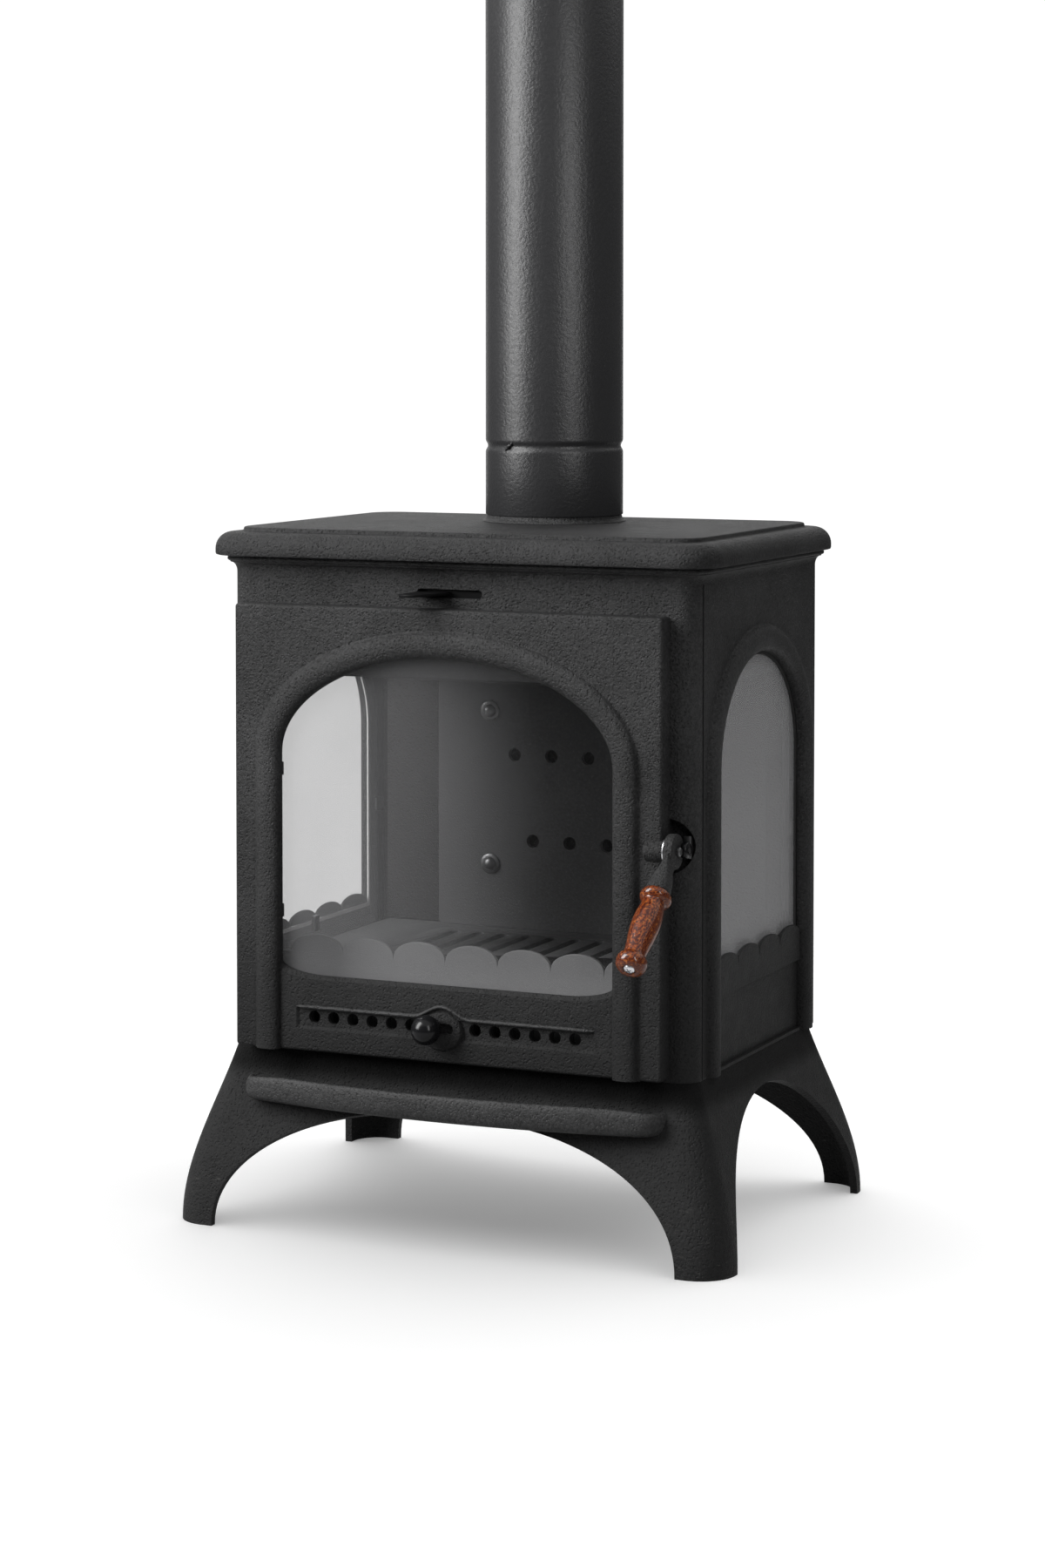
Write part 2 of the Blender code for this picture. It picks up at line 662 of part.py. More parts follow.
def make_side(name, sign):
    face = HALF
    y0 = FRONT_RETURN + SEAT
    profile = [(sign * (face + out), z) for out, z in wall_profile()]
    profile += [(sign * (face - WALL), CASTING_TOP), (sign * (face - WALL), CASTING_LOW)]
    obj = add_object(name, prism("Y", y0, BODY_DEPTH, profile), "cast_iron")
    sections = roll_sections(
        SIDE_WINDOW_Y,
        SIDE_WINDOW_HALF + ROLL_WIDTH / 2,
        CASTING_LOW,
        SIDE_WINDOW_SPRING,
        SIDE_WINDOW_RISE + ROLL_WIDTH / 2,
        18,
    )
    rings = [[Vector((sign * (face + out), u, v)) for u, v, out in section] for section in sections]
    boolean(obj, loft(rings), "UNION")
    boolean(obj, prism("X", sign * (face - WALL - 0.01), sign * (face + 0.02), side_window()))
    panel = rectangle(
        SIDE_WINDOW_Y - SIDE_WINDOW_HALF, CASTING_LOW + 0.003, SIDE_WINDOW_Y + SIDE_WINDOW_HALF, SIDE_WINDOW_LOW + 0.02
    )
    recess = face - SIDE_PANEL_RECESS - SIDE_GUARD_THICKNESS / 2
    boolean(obj, prism("X", sign * recess, sign * (face + 0.02), panel))
    return obj


def make_rear_plate():
    inner = HALF - WALL - SEAT
    low = BODY_DEPTH - WALL
    outline = rectangle(-inner, CASTING_LOW, inner, CASTING_TOP)
    obj = add_object("rear_plate", prism("Y", low, BODY_DEPTH, outline), "cast_iron")
    border = REAR_BORDER
    rib = REAR_RIB
    panel = prism(
        "Y",
        BODY_DEPTH - 0.001,
        BODY_DEPTH + 0.004,
        rounded_rectangle(-inner + border, CASTING_LOW + border, inner - border, CASTING_TOP - border, 0.02, 4),
        [
            rounded_rectangle(
                -inner + border + rib,
                CASTING_LOW + border + rib,
                inner - border - rib,
                CASTING_TOP - border - rib,
                0.014,
                4,
            )
        ],
    )
    boolean(obj, panel, "UNION")
    for side in (-1, 1):
        middle = side * inner * 0.42
        rib_box = box(
            middle - rib / 2,
            BODY_DEPTH - 0.001,
            CASTING_LOW + border + rib / 2,
            middle + rib / 2,
            BODY_DEPTH + 0.003,
            CASTING_TOP - border - rib / 2,
        )
        boolean(obj, rib_box, "UNION")
    for k in range(REAR_SLOTS):
        x = REAR_SLOT_PITCH * (k - (REAR_SLOTS - 1) / 2)
        slot = rounded_rectangle(
            x - REAR_SLOT_HALF, REAR_SLOT_LOW, x + REAR_SLOT_HALF, REAR_SLOT_LOW + REAR_SLOT_HEIGHT, 0.0035, 3
        )
        boolean(obj, prism("Y", low - 0.01, BODY_DEPTH + 0.01, slot))
    return obj


def top_ring(inset, corner, z):
    out = TOP_OVERHANG - inset
    plan = rounded_rectangle(-HALF - out, -out, HALF + out, BODY_DEPTH + out, corner, 6)
    return [Vector((x, y, z)) for x, y in plan]


def make_top_plate():
    round_edge = TOP_THICKNESS * 0.72
    rings = [top_ring(0.0008, TOP_CORNER, TOP_LOW)]
    rings.append(top_ring(0.0, TOP_CORNER, TOP_LOW + 0.0015))
    for k in range(6):
        angle = math.pi / 2 * k / 5
        inset = round_edge * (1 - math.cos(angle))
        z = TOP_RIM - round_edge + round_edge * math.sin(angle)
        rings.append(top_ring(inset, TOP_CORNER - inset, z))
    rings.append(top_ring(PANEL_INSET - 0.001, PANEL_CORNER + 0.001, TOP_RIM))
    rings.append(top_ring(PANEL_INSET + 0.0005, PANEL_CORNER, TOP_PANEL - 0.001))
    rings.append(top_ring(PANEL_INSET + 0.0015, PANEL_CORNER, TOP_PANEL))
    obj = add_object("top_plate", loft(rings), "cast_iron")
    recess = top_ring(TOP_OVERHANG + TOP_RECESS_INSET, 0.01, 0)
    outline = [(p.x, p.y) for p in recess]
    boolean(obj, prism("Z", TOP_LOW - 0.01, TOP_RIM - TOP_SHELL, outline))
    hole = PIPE_RADIUS - PIPE_WALL - 0.0035 + SEAT
    boolean(obj, cylinder(hole, TOP_LOW - 0.01, TOP_PANEL + 0.01, (0, PIPE_Y, 0), steps=40))
    seat = PIPE_RADIUS + COLLAR_FOOT_OUT + SEAT
    boolean(obj, cylinder(seat, TOP_PANEL - COLLAR_SEAT_DEPTH, TOP_PANEL + 0.01, (0, PIPE_Y, 0), steps=40))
    return obj


def make_flue():
    spigot = PIPE_RADIUS - PIPE_WALL - SEAT - 0.0002
    bore = spigot - COLLAR_WALL
    neck = PIPE_RADIUS - PIPE_WALL - 0.0035
    foot = PIPE_RADIUS + COLLAR_FOOT_OUT
    top = COLLAR_BASE + COLLAR_SHOULDER
    profile = [(bore, TOP_RIM - TOP_SHELL), (neck, TOP_RIM - TOP_SHELL), (neck, COLLAR_BASE), (foot, COLLAR_BASE)]
    profile += [(foot, COLLAR_BASE + COLLAR_SEAT_DEPTH), (PIPE_RADIUS + 0.001, COLLAR_BASE + 0.0026)]
    profile.append((PIPE_RADIUS - 0.001, COLLAR_BASE + COLLAR_FOOT_HEIGHT))
    profile += [(PIPE_RADIUS - 0.001, top), (spigot, top), (spigot, top + COLLAR_SPIGOT), (bore, top + COLLAR_SPIGOT)]
    add_object("flue_collar", turned(profile, (0, PIPE_Y, 0), steps=40, closed=True), "cast_iron")
    bead = PIPE_LOW + PIPE_BEAD_UP
    profile = []
    for radius, way in ((PIPE_RADIUS, 1), (PIPE_RADIUS - PIPE_WALL, -1)):
        line = [(radius, PIPE_LOW), (radius, bead - 0.006), (radius - PIPE_BEAD_DEPTH, bead - 0.001)]
        line += [(radius - PIPE_BEAD_DEPTH, bead + 0.001), (radius, bead + 0.006), (radius, PIPE_HIGH)]
        profile += line[::way]
    add_object("flue_pipe", turned(profile, (0, PIPE_Y, 0), steps=40, closed=True), "flue_steel")


def door_window(grow=0.0):
    return arch_outline(
        DOOR_X,
        WINDOW_HALF + grow,
        WINDOW_LOW - grow,
        WINDOW_SPRING,
        WINDOW_RISE + grow,
        (WINDOW_CORNER_WIDE + grow, WINDOW_CORNER_HIGH + grow),
        20,
    )


def air_hole_places():
    for side in (-1, 1):
        for k in range(AIR_HOLES):
            yield AIR_X + side * (AIR_GROUP_GAP / 2 + AIR_PITCH * k)


def make_door():
    pivot = (HINGE_X, HINGE_Y, 0)
    edge = DOOR_EDGE
    rings = []
    for inset, y in ((0, -DOOR_BACK), (0, DOOR_FRONT + edge), (edge * 0.3, DOOR_FRONT + edge * 0.3), (edge, DOOR_FRONT)):
        ring = rounded_rectangle(
            DOOR_LEFT + inset, DOOR_LOW + inset, DOOR_RIGHT - inset, DOOR_TOP - inset, 0.002, 2
        )
        rings.append([Vector((x, y, z)) for x, z in ring])
    obj = add_object("door", loft(rings), "cast_iron", pivot)
    column = DOOR_LEFT + HINGE_COLUMN
    flange = DOOR_FLANGE
    pan = rectangle(column, DOOR_LOW + flange, DOOR_RIGHT - flange, DOOR_TOP - flange)
    boolean(obj, prism("Y", SKIN_BACK, 0.01, pan))
    corner = [(DOOR_LEFT - 0.01, HINGE_Y)]
    for k in range(7):
        angle = math.pi - math.pi / 2 * k / 6
        corner.append((HINGE_X + HINGE_INSET * math.cos(angle), HINGE_Y + HINGE_INSET * math.sin(angle)))
    corner += [(HINGE_X, 0.01), (DOOR_LEFT - 0.01, 0.01)]
    boolean(obj, prism("Z", DOOR_LOW - 0.01, DOOR_TOP + 0.01, corner))
    sections = roll_sections(
        DOOR_X,
        WINDOW_HALF + ROLL_WIDTH / 2,
        DOOR_LOW,
        WINDOW_SPRING,
        WINDOW_RISE + ROLL_WIDTH / 2,
        22,
    )
    rings = [[Vector((u, DOOR_FRONT - out, v)) for u, v, out in section] for section in sections]
    boolean(obj, loft(rings), "UNION")
    boss_end = DOOR_RIGHT + BOSS_PAST_DOOR
    boss = cylinder(BOSS_RADIUS, boss_end - BOSS_LENGTH, boss_end, (0, PIVOT_Y, PIVOT_Z), "X", 20)
    boolean(obj, boss, "UNION")
    boolean(obj, prism("Y", DOOR_FRONT - 0.02, SKIN_BACK + 0.002, door_window()))
    strip = rectangle(DOOR_X - AIR_STRIP_HALF, AIR_STRIP_LOW, DOOR_X + AIR_STRIP_HALF, AIR_STRIP_HIGH)
    boolean(obj, prism("Y", DOOR_FRONT - 0.01, DOOR_FRONT + AIR_STRIP_RECESS, strip))
    brow = prism(
        "Y",
        DOOR_FRONT - 0.0022,
        DOOR_FRONT + AIR_STRIP_RECESS + 0.001,
        brow_outline(),
    )
    boolean(obj, brow, "UNION")
    middle = (AIR_X, AIR_Z - 0.003)
    oval = [
        (middle[0] + KNOB_BOSS_HALF * u, middle[1] + KNOB_BOSS_HIGH * v) for u, v in circle(1.0, 24)
    ]
    boolean(obj, prism("Y", DOOR_FRONT - 0.0025, DOOR_FRONT + AIR_STRIP_RECESS + 0.001, oval), "UNION")
    for x in air_hole_places():
        boolean(obj, cylinder(AIR_RADIUS, DOOR_FRONT - 0.01, SKIN_BACK + 0.002, (x, 0, AIR_Z), "Y", 12))
    slot_high = KNOB_STEM + 0.0007
    slot = rounded_rectangle(
        KNOB_X - slot_high,
        AIR_Z - slot_high,
        KNOB_X + KNOB_SLOT + slot_high,
        AIR_Z + slot_high,
        slot_high * 0.99,
        4,
    )
    boolean(obj, prism("Y", DOOR_FRONT - 0.01, SKIN_BACK + 0.002, slot))
    room = HINGE_LUG_RADIUS + 0.0006
    for z in hinge_heights():
        high = HINGE_LUG_HEIGHT / 2 + 2 * SEAT
        notch = box(DOOR_LEFT - 0.01, HINGE_Y - room, z - high, HINGE_X + room, 0.01, z + high)
        boolean(obj, notch)
        hole = cylinder(HINGE_PIN_RADIUS + PIN_CLEARANCE, z - 0.021, z + 0.021, (HINGE_X, HINGE_Y, 0), steps=16)
        boolean(obj, hole)
    pin = cylinder(
        PIVOT_RADIUS + PIN_CLEARANCE, boss_end - BOSS_LENGTH + 0.002, boss_end + 0.01, (0, PIVOT_Y, PIVOT_Z), "X", 16
    )
    boolean(obj, pin)
    return obj


def brow_outline():
    """The thin rib over the air holes, which rises over the knob."""
    steps = 12
    base = AIR_STRIP_HIGH - BROW_LAP
    half = AIR_STRIP_HALF + BROW_PAST_STRIP
    bulge = KNOB_BOSS_HALF + 0.008
    low = [(DOOR_X - half, base)]
    for k in range(steps + 1):
        along = 2 * k / steps - 1
        low.append((DOOR_X + bulge * along, base + BROW_RISE * (0.5 + 0.5 * math.cos(math.pi * along))))
    low.append((DOOR_X + half, base))
    return low + [(x, z + BROW_THICKNESS) for x, z in reversed(low)]


def make_door_fittings():
    pivot = (HINGE_X, HINGE_Y, 0)
    glass_front = SKIN_BACK + SEAT
    glass_back = glass_front + GLASS_THICKNESS
    add_object("door_glass", prism("Y", glass_front, glass_back, door_window(GLASS_LAP)), "glass", pivot)
    for side, hand in ((-1, "left"), (1, "right")):
        for z, level in ((GLASS_CLIP_LOW, "lower"), (GLASS_CLIP_HIGH, "upper")):
            x = DOOR_X + side * (WINDOW_HALF + GLASS_LAP)
            foot = [(x - side * 0.007, glass_back + SEAT), (x + side * 0.005, glass_back + SEAT)]
            foot += [(x + side * 0.005, SKIN_BACK + SEAT), (x + side * 0.0066, SKIN_BACK + SEAT)]
            foot += [(x + side * 0.0066, glass_back + 0.0018), (x - side * 0.007, glass_back + 0.0018)]
            clip = prism("Z", z - CLIP_WIDTH / 2, z + CLIP_WIDTH / 2, foot)
            add_object("door_clip_" + hand + "_" + level, clip, "steel", pivot)
    half = OPENING_HALF + GASKET_OUTSET
    ring = rounded_rectangle(
        DOOR_X - half, OPENING_LOW - GASKET_OUTSET + 0.003, DOOR_X + half, OPENING_HIGH + GASKET_OUTSET - 0.004, 0.02, 4
    )
    y = -DOOR_BACK / 2 - GASKET_RADIUS - SEAT
    sections = []
    for k, (u, v) in enumerate(ring):
        before = Vector(ring[k - 1])
        after = Vector(ring[(k + 1) % len(ring)])
        along = (after - before).normalized()
        side = Vector((along.y, -along.x))
        section = []
        for a in (2 * math.pi * j / 8 for j in range(8)):
            offset = side * GASKET_RADIUS * math.cos(a)
            section.append(Vector((u + offset.x, y + GASKET_RADIUS * math.sin(a), v + offset.y)))
        sections.append(section)
    add_object("door_gasket", loft(sections, closed=True), "rope", pivot)
    for z, name in zip(hinge_heights(), ("hinge_pin_lower", "hinge_pin_upper")):
        pin = cylinder(HINGE_PIN_RADIUS, z - HINGE_PIN_HALF, z + HINGE_PIN_HALF, (HINGE_X, HINGE_Y, 0), steps=16)
        add_object(name, pin, "steel", pivot)


def make_air_slide():
    """The slide's oval holes meet the door's round ones at rest and lie between them half a pitch on."""
    pivot = (HINGE_X, HINGE_Y, 0)
    front = SKIN_BACK + SEAT
    back = front + AIR_SLIDE_THICKNESS
    half = AIR_SLIDE_HEIGHT / 2
    outline = rectangle(DOOR_X - AIR_SLIDE_HALF, AIR_Z - half, DOOR_X + AIR_SLIDE_HALF, AIR_Z + half)
    oval = [(AIR_SLIDE_HOLE_HALF * u, AIR_RADIUS * v) for u, v in circle(1.0, 8)]
    holes = [[(x + u, AIR_Z + v) for u, v in oval] for x in air_hole_places()]
    add_object("air_slide", prism("Y", front, back, outline, holes), "steel", pivot)
    ball = DOOR_FRONT - KNOB_OUT
    profile = [(0, front - SEAT), (KNOB_STEM, front - SEAT), (KNOB_STEM, ball + KNOB_RADIUS * 0.9)]
    for k in range(2, 13):
        angle = math.pi * k / 12
        profile.append((KNOB_RADIUS * math.sin(angle), ball + KNOB_RADIUS * math.cos(angle)))
    profile[-1] = (0, ball - KNOB_RADIUS)
    knob = turned(profile, (KNOB_X, 0, AIR_Z), "Y", 20)
    add_object("air_knob", knob, "black_gloss", pivot)
    for way, level in ((-1, "lower"), (1, "upper")):
        edge = AIR_Z + way * (half + SEAT)
        outline = [(front, edge), (back + SEAT, edge), (back + SEAT, edge - way * 0.003)]
        outline += [(back + 0.002, edge - way * 0.003), (back + 0.002, edge + way * 0.006), (front, edge + way * 0.006)]
        guide = prism("X", DOOR_X - AIR_SLIDE_HALF, DOOR_X + AIR_SLIDE_HALF, outline)
        add_object("air_guide_" + level, guide, "steel", pivot)


def make_upper_slide():
    front = WALL + SEAT
    back = front + 0.002
    half = UPPER_SLIDE_HEIGHT / 2
    tab_left = SLOT_LEFT + 0.0005
    z = SLOT_Z - TAB_THICKNESS / 2
    plate = prism("Y", front, back, rectangle(UPPER_SLIDE_LEFT, SLOT_Z - half, UPPER_SLIDE_RIGHT, SLOT_Z + half))
    obj = add_object("upper_air_slide", plate, "steel")
    tab = prism(
        "Z",
        z,
        z + TAB_THICKNESS,
        [(tab_left, front + 0.001), (tab_left, -TAB_OUT + 0.003), (tab_left + 0.003, -TAB_OUT)]
        + [(tab_left + TAB_WIDTH - 0.003, -TAB_OUT), (tab_left + TAB_WIDTH, -TAB_OUT + 0.003)]
        + [(tab_left + TAB_ROOT, -0.004), (tab_left + TAB_ROOT, front + 0.001)],
    )
    boolean(obj, tab, "UNION")
    for way, level in ((-1, "lower"), (1, "upper")):
        edge = SLOT_Z + way * (half + SEAT)
        outline = [(front, edge), (back + SEAT, edge), (back + SEAT, edge - way * 0.003)]
        outline += [(back + 0.002, edge - way * 0.003), (back + 0.002, edge + way * 0.005), (front, edge + way * 0.005)]
        add_object("upper_guide_" + level, prism("X", UPPER_GUIDE_LEFT, UPPER_GUIDE_RIGHT, outline), "steel")


def handle_point(along, across=0.0):
    """A point in the handle's own plane, along the grip's axis from the pivot and across it."""
    y = PIVOT_Y - along * math.cos(HANDLE_DROP) + across * math.sin(HANDLE_DROP)
    z = PIVOT_Z - along * math.sin(HANDLE_DROP) - across * math.cos(HANDLE_DROP)
    return y, z


def along_handle(profile, steps):
    """Spins (radius, distance from the pivot) pairs about the grip's axis."""
    bm = turned(profile, (0, 0, 0), "Z", steps, closed=profile[0][0] > 0)
    turn = Matrix.Rotation(math.pi / 2 + HANDLE_DROP, 3, "X")
    bmesh.ops.rotate(bm, verts=bm.verts, matrix=turn, cent=(0, 0, 0))
    middle = HUB_X + HUB_THICKNESS / 2
    bmesh.ops.translate(bm, verts=bm.verts, vec=(middle, PIVOT_Y, PIVOT_Z))
    return bm


def grip_profile(bore):
    """The turned outline of the wooden grip: a collar, a barrel, a waist and an end collar."""
    start = GRIP_START + SEAT
    shape = ((0.00, 0.55), (0.01, 0.86), (0.05, 1.00), (0.09, 0.97), (0.125, 0.74), (0.15, 0.66), (0.20, 0.72))
    shape += ((0.32, 0.90), (0.45, 0.97), (0.58, 0.88), (0.70, 0.74), (0.80, 0.66), (0.84, 0.70))
    shape += ((0.87, 0.93), (0.92, 1.00), (0.97, 0.92), (1.00, 0.66))
    profile = [(bore, start)]
    profile += [(GRIP_RADIUS * wide, start + GRIP_LENGTH * along) for along, wide in shape]
    profile.append((bore, start + GRIP_LENGTH))
    return profile


def make_handle():
    pivot = (0, PIVOT_Y, PIVOT_Z)
    boss_end = DOOR_RIGHT + BOSS_PAST_DOOR
    washer = cylinder(
        WASHER_RADIUS,
        boss_end + SEAT,
        boss_end + SEAT + WASHER_THICKNESS,
        (0, PIVOT_Y, PIVOT_Z),
        "X",
        20,
        PIVOT_RADIUS + PIN_CLEARANCE,
    )
    add_object("handle_washer", washer, "zinc", pivot)
    hub = cylinder(HUB_RADIUS, HUB_X, HUB_X + HUB_THICKNESS, (0, PIVOT_Y, PIVOT_Z), "X", 28)
    obj = add_object("handle_lever", hub, "cast_iron", pivot)
    neck = [(0, 0.006), (0.0042, 0.006), (0.0046, 0.016), (0.0075, 0.028), (0.0096, GRIP_START), (0, GRIP_START)]
    boolean(obj, along_handle(neck, 16), "UNION")
    tang = [(0, GRIP_START - 0.004), (TANG_RADIUS, GRIP_START - 0.004), (TANG_RADIUS, GRIP_START + GRIP_LENGTH * 0.9)]
    tang.append((0, GRIP_START + GRIP_LENGTH * 0.9))
    boolean(obj, along_handle(tang, 12), "UNION")
    boolean(
        obj,
        cylinder(PIVOT_RADIUS + PIN_CLEARANCE, HUB_X - 0.01, HUB_X + 0.02, (0, PIVOT_Y, PIVOT_Z), "X", 16),
    )
    roller_y = PIVOT_Y + ROLLER_CRANK
    roller_x = HUB_X + HUB_THICKNESS + SEAT
    pin_end = roller_x + ROLLER_LENGTH + 0.001
    boolean(
        obj,
        cylinder(ROLLER_PIN, HUB_X + HUB_THICKNESS - 0.002, pin_end, (0, roller_y, PIVOT_Z), "X", 12),
        "UNION",
    )
    roller = cylinder(
        ROLLER_RADIUS,
        roller_x,
        roller_x + ROLLER_LENGTH,
        (0, roller_y, PIVOT_Z),
        "X",
        20,
        ROLLER_PIN + PIN_CLEARANCE,
    )
    add_object("latch_roller", roller, "black_gloss", (0, roller_y, PIVOT_Z))
    head_x = HUB_X + HUB_THICKNESS + SEAT
    profile = [(0, boss_end - BOSS_LENGTH + 0.003), (PIVOT_RADIUS, boss_end - BOSS_LENGTH + 0.003), (PIVOT_RADIUS, head_x)]
    profile += [(0.0042, head_x), (0.0042, head_x + 0.002), (0.0030, head_x + 0.003), (0, head_x + 0.003)]
    add_object("handle_pivot_pin", turned(profile, (0, PIVOT_Y, PIVOT_Z), "X", 16), "steel", pivot)
    add_object("handle_grip", along_handle(grip_profile(TANG_RADIUS + SEAT), 18), "wood", pivot)
    end = GRIP_START + GRIP_LENGTH + 2 * SEAT
    screw = [(0, GRIP_START + GRIP_LENGTH * 0.9 + SEAT), (0.0030, GRIP_START + GRIP_LENGTH * 0.9 + SEAT)]
    screw += [(0.0030, end), (0.0052, end), (0.0045, end + 0.002), (0, end + 0.0026)]
    add_object("handle_end_screw", along_handle(screw, 16), "zinc", pivot)
    keeper_low = PIVOT_Z - 0.009
    face = roller_y + ROLLER_RADIUS + 2 * SEAT
    outline = [(face + 0.003, keeper_low), (POCKET_DEPTH - SEAT, keeper_low), (POCKET_DEPTH - SEAT, keeper_low + 0.020)]
    outline += [(face + 0.001, keeper_low + 0.020), (face, keeper_low + 0.014)]
    keeper = prism("X", roller_x - 0.003, roller_x + 0.0037, outline)
    add_object("latch_keeper", keeper, "steel")


def scallops(middle, pitch, count, peak, height, steps=5):
    """The top edge of a row of half-round scallops, from right to left."""
    points = []
    first = middle + pitch * count / 2
    for k in range(count):
        for j in range(steps + (1 if k == count - 1 else 0)):
            angle = math.pi * j / steps
            u = first - pitch * (k + 0.5) + pitch / 2 * math.cos(angle)
            points.append((u, peak - height + height * math.sin(angle) ** 0.8))
    return points


def make_side_windows():
    for name, sign in (("left", -1), ("right", 1)):
        outer = HALF - WALL - SEAT
        inner = outer - GLASS_THICKNESS
        add_object(
            name + "_glass", prism("X", sign * inner, sign * outer, side_window(GLASS_LAP)), "glass"
        )
        face = HALF - SIDE_PANEL_RECESS - SIDE_GUARD_THICKNESS / 2 + SEAT
        half = SIDE_WINDOW_HALF - SEAT
        outline = scallops(SIDE_WINDOW_Y, 2 * half / SIDE_SCALLOPS, SIDE_SCALLOPS, SIDE_GUARD_PEAK, 0.013)
        outline += [(SIDE_WINDOW_Y - half, SIDE_GUARD_LOW), (SIDE_WINDOW_Y + half, SIDE_GUARD_LOW)]
        guard = prism("X", sign * face, sign * (face + SIDE_GUARD_THICKNESS), outline)
        add_object(name + "_window_guard", guard, "cast_iron")
        back = inner - SEAT
        for way, end in ((-1, "front"), (1, "rear")):
            y = SIDE_WINDOW_Y + way * (SIDE_WINDOW_HALF + GLASS_LAP)
            foot = [(back, y - way * 0.006), (back, y + way * SEAT * 2), (outer, y + way * SEAT * 2)]
            foot += [(outer, y + way * 0.0095), (back - 0.0015, y + way * 0.0095), (back - 0.0015, y - way * 0.006)]
            low = SIDE_CLIP_Z - CLIP_WIDTH / 2
            clip = prism("Z", low, low + CLIP_WIDTH, [(sign * x, y) for x, y in foot])
            add_object(name + "_clip_" + end, clip, "steel")


def make_firebox():
    inner = HALF - WALL - SEAT
    front = WALL + SEAT
    rear = BODY_DEPTH - WALL - SEAT
    corner = BODY_CORNER - WALL
    plan = [(-inner, rear), (-inner, front + corner), (-inner + corner, front), (inner - corner, front)]
    plan += [(inner, front + corner), (inner, rear)]
    clear = TIE_RADIUS + SEAT
    holes = [circle(clear, 12, place_) for place_ in tie_places()]
    hearth = add_object("hearth_plate", prism("Z", HEARTH_LOW, HEARTH_TOP, plan, holes), "cast_iron")
    runner_top = OPENING_LOW
    for side in (-1, 1):
        runner = box(
            side * RUNNER_X - RUNNER_WIDTH / 2,
            front + 0.004,
            HEARTH_TOP - 0.001,
            side * RUNNER_X + RUNNER_WIDTH / 2,
            LINER_Y - 0.01,
            runner_top,
        )
        boolean(hearth, runner, "UNION")
    bed_back = LINER_Y + LINER_THICKNESS + 0.002
    bed_plan = rectangle(-BED_HALF, BED_FRONT, BED_HALF, bed_back)
    hole = rectangle(-GRATE_HALF_X, GRATE_Y - GRATE_HALF_Y, GRATE_HALF_X, GRATE_Y + GRATE_HALF_Y)
    bed = add_object("fire_bed", prism("Z", BED_LOW, BED_TOP, bed_plan, [hole]), "liner_iron")
    ledge_in = GRATE_LEDGE
    ledge = prism(
        "Z",
        BED_LOW - 0.003,
        BED_LOW + 0.002,
        rectangle(-GRATE_HALF_X - 0.004, GRATE_Y - GRATE_HALF_Y - 0.004, GRATE_HALF_X + 0.004, GRATE_Y + GRATE_HALF_Y + 0.004),
        [
            rectangle(
                -GRATE_HALF_X + ledge_in,
                GRATE_Y - GRATE_HALF_Y + ledge_in,
                GRATE_HALF_X - ledge_in,
                GRATE_Y + GRATE_HALF_Y - ledge_in,
            )
        ],
    )
    boolean(bed, ledge, "UNION")
    for side in (-1, 1):
        leg = box(
            side * BED_LEG_X - BED_LEG / 2,
            BED_FRONT,
            HEARTH_TOP + SEAT,
            side * BED_LEG_X + BED_LEG / 2,
            bed_back,
            BED_LOW + 0.002,
        )
        boolean(bed, leg, "UNION")
    edge = 2 * SEAT
    plan = rectangle(
        -GRATE_HALF_X + edge, GRATE_Y - GRATE_HALF_Y + edge, GRATE_HALF_X - edge, GRATE_Y + GRATE_HALF_Y - edge
    )
    pitch = 2 * (GRATE_HALF_X - 0.012) / GRATE_SLOTS
    slots = []
    for k in range(GRATE_SLOTS):
        x = -GRATE_HALF_X + 0.012 + pitch * (k + 0.5)
        half = GRATE_SLOT_WIDTH / 2
        y0 = GRATE_Y - GRATE_HALF_Y + 0.014
        y1 = GRATE_Y + GRATE_HALF_Y - 0.014
        slots.append(rounded_rectangle(x - half, y0, x + half, y1, half * 0.98, 2))
    grate = prism("Z", BED_LOW + 0.002 + SEAT, BED_TOP + 0.001, plan, slots)
    add_object("grate", grate, "liner_iron")
    make_ash_pan(runner_top + SEAT)
    half = GUARD_PITCH * (GUARD_SCALLOPS + 0.5) / 2
    peak = BED_TOP + GUARD_HEIGHT
    outline = scallops(0, GUARD_PITCH, GUARD_SCALLOPS, peak, GUARD_SCALLOP)
    valley = peak - GUARD_SCALLOP
    outline = [(half, valley)] + outline + [(-half, valley), (-half, BED_TOP + SEAT), (half, BED_TOP + SEAT)]
    add_object("log_guard", prism("Y", GUARD_Y, GUARD_Y + GUARD_THICKNESS, outline), "liner_iron")
    make_fireback()


def make_ash_pan(low):
    front = WALL + 0.006
    back = LINER_Y - 0.012
    high = low + ASH_PAN_HEIGHT
    outline = rectangle(-ASH_PAN_HALF, front, ASH_PAN_HALF, back)
    obj = add_object("ash_pan", prism("Z", low, high, outline), "steel")
    wall = ASH_PAN_WALL
    inside = rectangle(-ASH_PAN_HALF + wall, front + wall, ASH_PAN_HALF - wall, back - wall)
    boolean(obj, prism("Z", low + wall, high + 0.01, inside))
    bail = [(-0.045, 0.0), (-0.045, -0.009), (0.045, -0.009), (0.045, 0.0), (0.041, 0.0), (0.041, -0.005)]
    bail += [(-0.041, -0.005), (-0.041, 0.0)]
    outline = [(x, front + 0.0005 + y) for x, y in bail]
    z = low + ASH_PAN_HEIGHT * 0.55
    boolean(obj, prism("Z", z - 0.003, z + 0.003, outline), "UNION")


